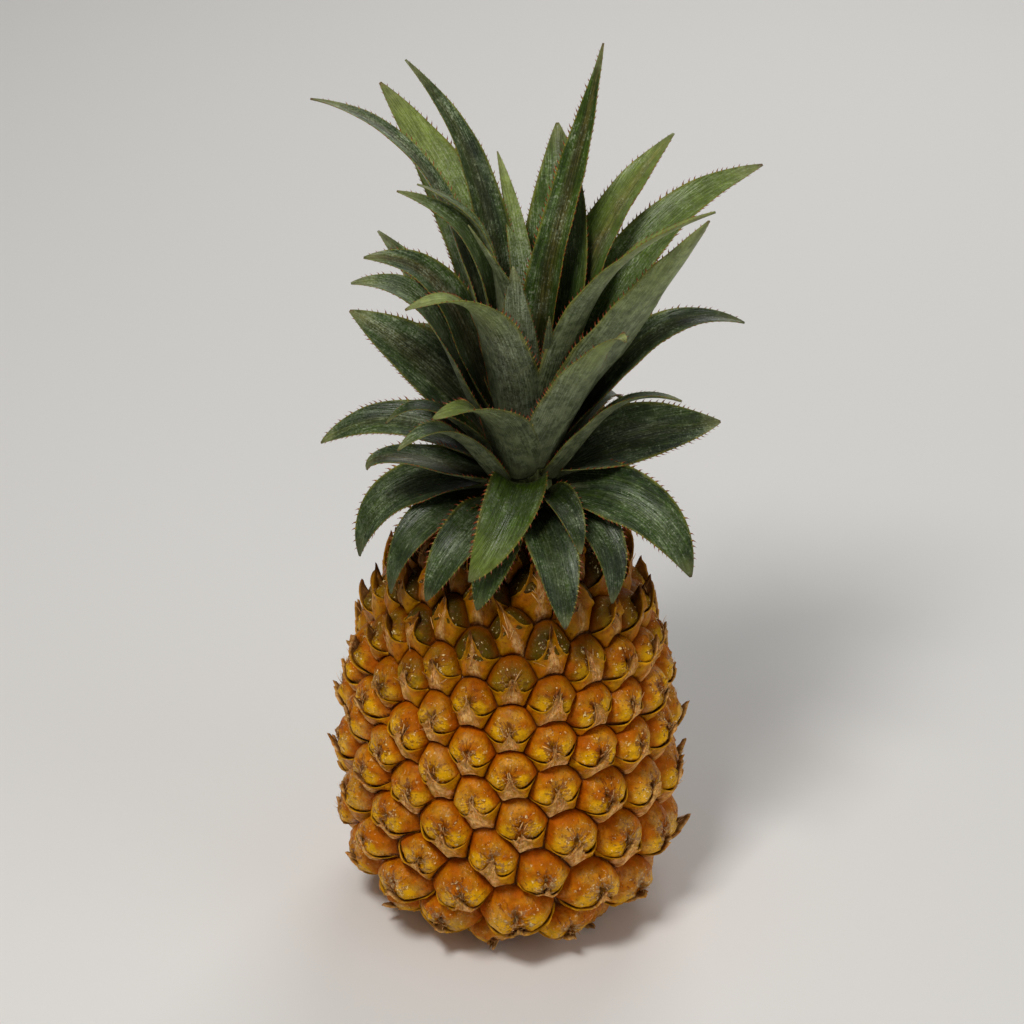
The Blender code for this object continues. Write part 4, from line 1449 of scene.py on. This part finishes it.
# %% Leaf finish
def make_leaf_finish():
    """Green blade with lengthwise lines, pale bloom, yellow edges and red-brown hooks."""
    finish, recipe, shader = new_finish("crown_leaf")
    place = recipe.place()
    blade = recipe.attribute("blade", "Vector")
    light, brown, pale = recipe.axes(recipe.attribute("look", "Vector"))
    share, edge, under, hook = [recipe.attribute(name) for name in ("share", "edge", "under", "hook")]
    lines = use_group(recipe, fibre_group, Where=blade, Fineness=2.1, Sharpness=0.05)["Lines"]
    broad = use_group(recipe, fibre_group, Where=blade, Fineness=0.45, Sharpness=0.14)["Lines"]
    patches = recipe.noise(place, 90.0, 4.0)
    grain = recipe.noise(place, 1600.0, 3.0)

    silver = recipe.ramp(recipe.noise(place, 330.0, 5.0, 0.65), 0.42, 0.56, 0.05, 0.60)
    underside = recipe.layers(
        recipe.mix(0.55 * lines, paint(102, 112, 72), paint(48, 62, 24)),
        (silver * recipe.ramp(share, 0.30, 0.80, 1.0, 0.30), paint(156, 162, 118)),
    )
    dry = brown * recipe.ramp(edge, 0.10, 0.60, 1.0, 0.0) * recipe.ramp(patches, 0.30, 0.55, 0.5, 1.0)
    bloom = recipe.ramp(patches, 0.46, 0.68, 0.0, 0.42) + 0.95 * pale
    bloom = bloom * recipe.ramp(grain, 0.40, 0.58, 0.15, 1.0) * recipe.ramp(lines, 0.0, 1.0, 1.0, 0.50)
    spotted = recipe.ramp(recipe.noise(place, 420.0, 4.0, 0.7), 0.58, 0.68, 0.0, 0.55)
    scales = recipe.ramp(recipe.noise(place, 1000.0, 3.0, 0.6), 0.54, 0.64)
    scales = scales * recipe.ramp(patches, 0.40, 0.58, 0.25, 1.0) * recipe.ramp(lines, 0.2, 0.8, 0.60, 0.15)
    # painted highlight: light leaves get a pale sunlit green towards their tips
    painted_sunlight = recipe.ramp(share, 0.45, 0.90) * recipe.ramp(light, 0.3, 1.0, 0.0, 0.65)

    base = share + 0.08 * (broad - 0.5)
    rim = edge + 0.25 * (patches - 0.5)
    tip = share + 0.10 * (patches - 0.5)
    across, back, height = recipe.axes(place)
    # painted shade: blades near the middle of the crown, below its top, are darkened as if the light hardly
    # reached them
    inside = recipe.ramp(recipe.distance(across, back), 12 * MM, 50 * MM, 0.78, 0.0)
    inside = inside * recipe.ramp(height, 185 * MM, 250 * MM, 1.0, 0.0)
    inside = inside * recipe.ramp(under, 0.0, 1.0, 1.0, 0.62)
    # painted shade: blades low on the crown, over the fruit, are darkened
    low = recipe.ramp(height, 125 * MM, 172 * MM, 0.5, 0.0)
    thorn = recipe.mix(recipe.ramp(hook, 0.20, 0.65), paint(158, 146, 66), paint(132, 52, 26))

    colour = recipe.layers(
        recipe.mix(recipe.ramp(patches, 0.36, 0.64), paint(22, 46, 2), paint(58, 88, 4)),
        # partly painted light and shade: a leaf's light number is partly its own tone and partly how much
        # light it seems to catch
        (recipe.ramp(light, 0.0, 1.0), paint(84, 114, 8)),
        (recipe.ramp(light, -1.0, 0.0, 0.75, 0.0), paint(14, 24, 4)),
        (0.30 * broad, paint(86, 108, 16)),
        (0.42 * lines, paint(12, 24, 2)),
        (0.78 * under, underside),
        (dry, recipe.mix(lines, paint(96, 60, 38), paint(56, 32, 16))),
        (bloom, paint(160, 170, 140)),
        (spotted, paint(12, 24, 4)),
        (scales, paint(172, 182, 150)),
        (painted_sunlight, paint(144, 158, 72)),
        (recipe.ramp(base, 0.04, 0.20, 0.80, 0.0), paint(128, 134, 92)),
        (recipe.ramp(rim, 0.86, 1.0, 0.0, 0.75), paint(118, 120, 34)),
        (recipe.ramp(tip, 0.86, 0.98, 0.0, 0.6), paint(126, 128, 78)),
        (recipe.ramp(tip, 0.985, 1.01, 0.0, 0.8), paint(104, 64, 36)),
        # painted shade deep in the crown and low on it
        (recipe.math("MAXIMUM", inside, low), paint(10, 16, 4)),
        (recipe.ramp(hook, 0.02, 0.10), thorn),
    )
    mottled = use_group(recipe, mottle_group, Colour=colour, Where=place, Size=330.0, Amount=0.20)
    roughness = recipe.ramp(grain, 0.3, 0.7, 0.30, 0.46) + 0.25 * bloom
    recipe.surface(shader, mottled["Colour"], roughness, 0.8 * lines + 0.4 * grain, 0.8, 0.34 * MM)
    shader.inputs["Specular IOR Level"].default_value = 0.34
    return finish


leaf_finish = make_leaf_finish()
print("leaf finish with", len(leaf_finish.node_tree.nodes), "nodes")

# %% [markdown]
# The three numbers of a leaf are given for the leaves that stand out. The others
# draw theirs at random when they are made, from a range that keeps them plain.

# %% Looks of single leaves
# leaf number: how light (-1 to 1; partly its own tone, partly painted light and shade), how brown (0 to 1),
# how pale with bloom (0 to 1)
LOOKS = {
    3: (-0.6, 0.0, 0.1), 5: (-0.7, 0.2, 0.0), 6: (-0.3, 0.8, 0.2), 10: (0.4, 0.0, 0.1),
    12: (-0.8, 0.0, 0.0), 16: (0.75, 0.0, 0.0), 17: (-0.1, 0.6, 0.2), 18: (-0.7, 0.1, 0.1),
    19: (0.1, 0.2, 0.2), 20: (-0.3, 0.0, 0.2), 24: (0.8, 0.0, 0.35), 25: (-0.7, 0.1, 0.0),
    28: (0.8, 0.0, 0.55), 29: (0.0, 0.4, 0.2), 31: (0.9, 0.25, 0.65), 32: (0.8, 0.0, 0.45),
    33: (0.3, 0.1, 0.4), 34: (0.6, 0.0, 0.3), 35: (0.0, 0.6, 0.2), 36: (0.9, 0.1, 0.35),
    37: (0.0, 0.3, 0.3), 39: (0.3, 0.0, 0.85), 40: (-0.1, 0.3, 0.4), 41: (0.7, 0.7, 0.1),
    42: (0.4, 0.0, 0.3), 44: (1.0, 0.1, 0.75), 45: (0.2, 0.1, 0.4), 46: (0.5, 0.0, 0.5),
    47: (0.25, 0.5, 0.03), 48: (-0.5, 0.2, 0.15), 49: (1.0, 0.0, 1.0), 50: (0.4, 0.15, 0.1),
}
PLAIN_LOOKS = ((-0.5, 0.4), (0.0, 0.15), (0.0, 0.25))
print(len(LOOKS), "leaves have a look of their own")

# %% [markdown]
# Now each leaf becomes one piece, which stands for the solid model's leaf of the same
# number. The blade is a closed tube of sections, and the hooks are added to the same mesh.
# `blade` stores where on the blade a point is, squeezed lengthwise, so that noise drawn
# there comes out as long thin lines.

# %% Leaf pieces
LEAF_SEED, LEAF_STEP = 100, 7.3     # a leaf's own random numbers, and its own part of the noise
SQUEEZE = 0.035                     # lengthways against sideways, for the lines


def make_leaf(number, leaf):
    """Make one leaf with its hooks, for the solid leaf of the same number, and count the hooks."""
    noise = np.random.default_rng(LEAF_SEED + number)
    shape = leaf_shape(leaf, SPREAD * BROADER.get(number, 1.0), noise)
    phases = noise.uniform(0.0, 2.0 * math.pi, 4)
    upper, lower, facing = blade_points(shape, leaf.width, phases)
    points = np.concatenate([lower, upper[:, ::-1]], axis=1).reshape(-1, 3)
    faces = blade_faces()
    hooks, hook_places = make_hooks(shape, upper, lower, facing, leaf.width, noise)
    step, spot, side = hook_places.T
    for start in range(len(points), len(points) + len(hooks), HOOK_SIZE):
        faces += hook_faces(start)

    around = 2 * BLADE_ACROSS
    across = np.tile(np.concatenate([ACROSS, ACROSS[::-1]]), SECTIONS)
    half = np.repeat(shape.half, around)
    share = np.repeat(shape.share, around)
    under = np.tile(np.repeat([1.0, 0.0], BLADE_ACROSS), SECTIONS)
    sideways = np.concatenate([across * half, side * leaf.width * 0.5 * MM]) / MM
    lengthways = np.concatenate([share * shape.length, spot]) / MM
    apart = np.full(len(sideways), LEAF_STEP * number)
    plain = [noise.uniform(low, high) for low, high in PLAIN_LOOKS]
    values = {
        "blade": np.stack([sideways, SQUEEZE * lengthways, apart], axis=1),
        "look": np.tile(LOOKS.get(number, plain), (len(sideways), 1)),
        "share": np.concatenate([share, spot / shape.length]),
        "edge": np.concatenate([np.abs(across), np.ones(len(hooks))]),
        "under": np.concatenate([under, np.zeros(len(hooks))]),
        "hook": np.concatenate([np.zeros(len(points)), 0.12 + 0.88 * step]),
    }
    points = np.concatenate([points, hooks])
    piece = mesh_piece(f"crown_leaf_{number:02d}", points, faces, leaf_finish, values)
    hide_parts(f"leaf_{number:02d}")
    return len(hooks) // HOOK_SIZE


hook_total = 0
for number, leaf in enumerate(LEAVES, start=1):
    hook_total += make_leaf(number, leaf)
print(len(LEAVES), "leaf pieces with", hook_total, "hooks")

# %% [markdown]
# ## The stem and the cut stalk
#
# Two solid pieces stay as they are and only need a finish. The crown's stem can hardly be
# seen between the leaves. The cut stalk under the fruit shows its fibres as fine lines along
# its length, and its cut end is straw-coloured.

# %% Stem and stalk finish
def make_stalk_finish(name, light, dark):
    """Fibrous stalk, lined along its length."""
    finish, recipe, shader = new_finish(name)
    place = recipe.place()
    squeezed = recipe.node("ShaderNodeMapping", Vector=place, Scale=(1.0, 1.0, 0.06)).outputs[0]
    lines = use_group(recipe, fibre_group, Where=squeezed, Fineness=1400.0, Sharpness=0.12)["Lines"]
    colour = recipe.mix(lines, light, dark)
    mottled = use_group(recipe, mottle_group, Colour=colour, Where=place, Size=300.0, Amount=0.25)
    roughness = recipe.ramp(lines, 0.0, 1.0, 0.60, 0.80)
    recipe.surface(shader, mottled["Colour"], roughness, lines, 0.5, 0.3 * MM)
    return finish


stem_finish = make_stalk_finish("stem_fibre", paint(150, 156, 96), paint(96, 104, 52))
stalk_finish = make_stalk_finish("stalk_fibre", paint(190, 158, 104), paint(128, 92, 50))
for node_name, finish in (("crown_stem", stem_finish), ("cut_stalk", stalk_finish)):
    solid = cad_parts[node_name]
    for material_slot in solid.material_slots:
        material_slot.material = finish
print("finishes on", stem_finish.name, "and", stalk_finish.name)

# %% [markdown]
# ## The floor
#
# The floor only has to be plain and pale. It runs flat under the fruit and then curves up
# behind it, so that there is no line where the floor ends.

# %% Floor
FLOOR_HALF, FLOOR_FRONT, FLOOR_BACK = 3.0, -3.0, 1.6
FLOOR_BEND, FLOOR_TOP, BEND_STEPS = 0.8, 3.0, 12


def make_floor():
    """A plain pale sheet that lies flat under the fruit and curves up behind it."""
    finish, _, shader = new_finish("pale_floor")
    shader.inputs["Base Color"].default_value = (0.80, 0.79, 0.77, 1.0)
    shader.inputs["Roughness"].default_value = 0.9
    outline = [(FLOOR_FRONT, 0.0), (FLOOR_BACK, 0.0)]
    for step in range(1, BEND_STEPS + 1):
        swing = 0.5 * math.pi * step / BEND_STEPS
        outline.append((FLOOR_BACK + FLOOR_BEND * math.sin(swing), FLOOR_BEND * (1.0 - math.cos(swing))))
    outline.append((FLOOR_BACK + FLOOR_BEND, FLOOR_TOP))
    points = [(x, y, z) for y, z in outline for x in (-FLOOR_HALF, FLOOR_HALF)]
    faces = [(2 * row, 2 * row + 1, 2 * row + 3, 2 * row + 2) for row in range(len(outline) - 1)]
    mesh = bpy.data.meshes.new("floor")
    mesh.from_pydata(points, [], faces)
    mesh.materials.append(finish)
    mesh.shade_smooth()
    floor = bpy.data.objects.new("floor", mesh)
    bpy.context.scene.collection.objects.link(floor)


make_floor()
print("floor", 2 * FLOOR_HALF, "m wide")

# %% [markdown]
# ## The sizes, and the end
#
# The solid model's box is printed. The visual model should be only a little larger, by the
# hooks, the dry tips and the waves of the leaves.

# %% Sizes
print("solid", np.round(np.array(solid_box) / MM, 1).tolist())
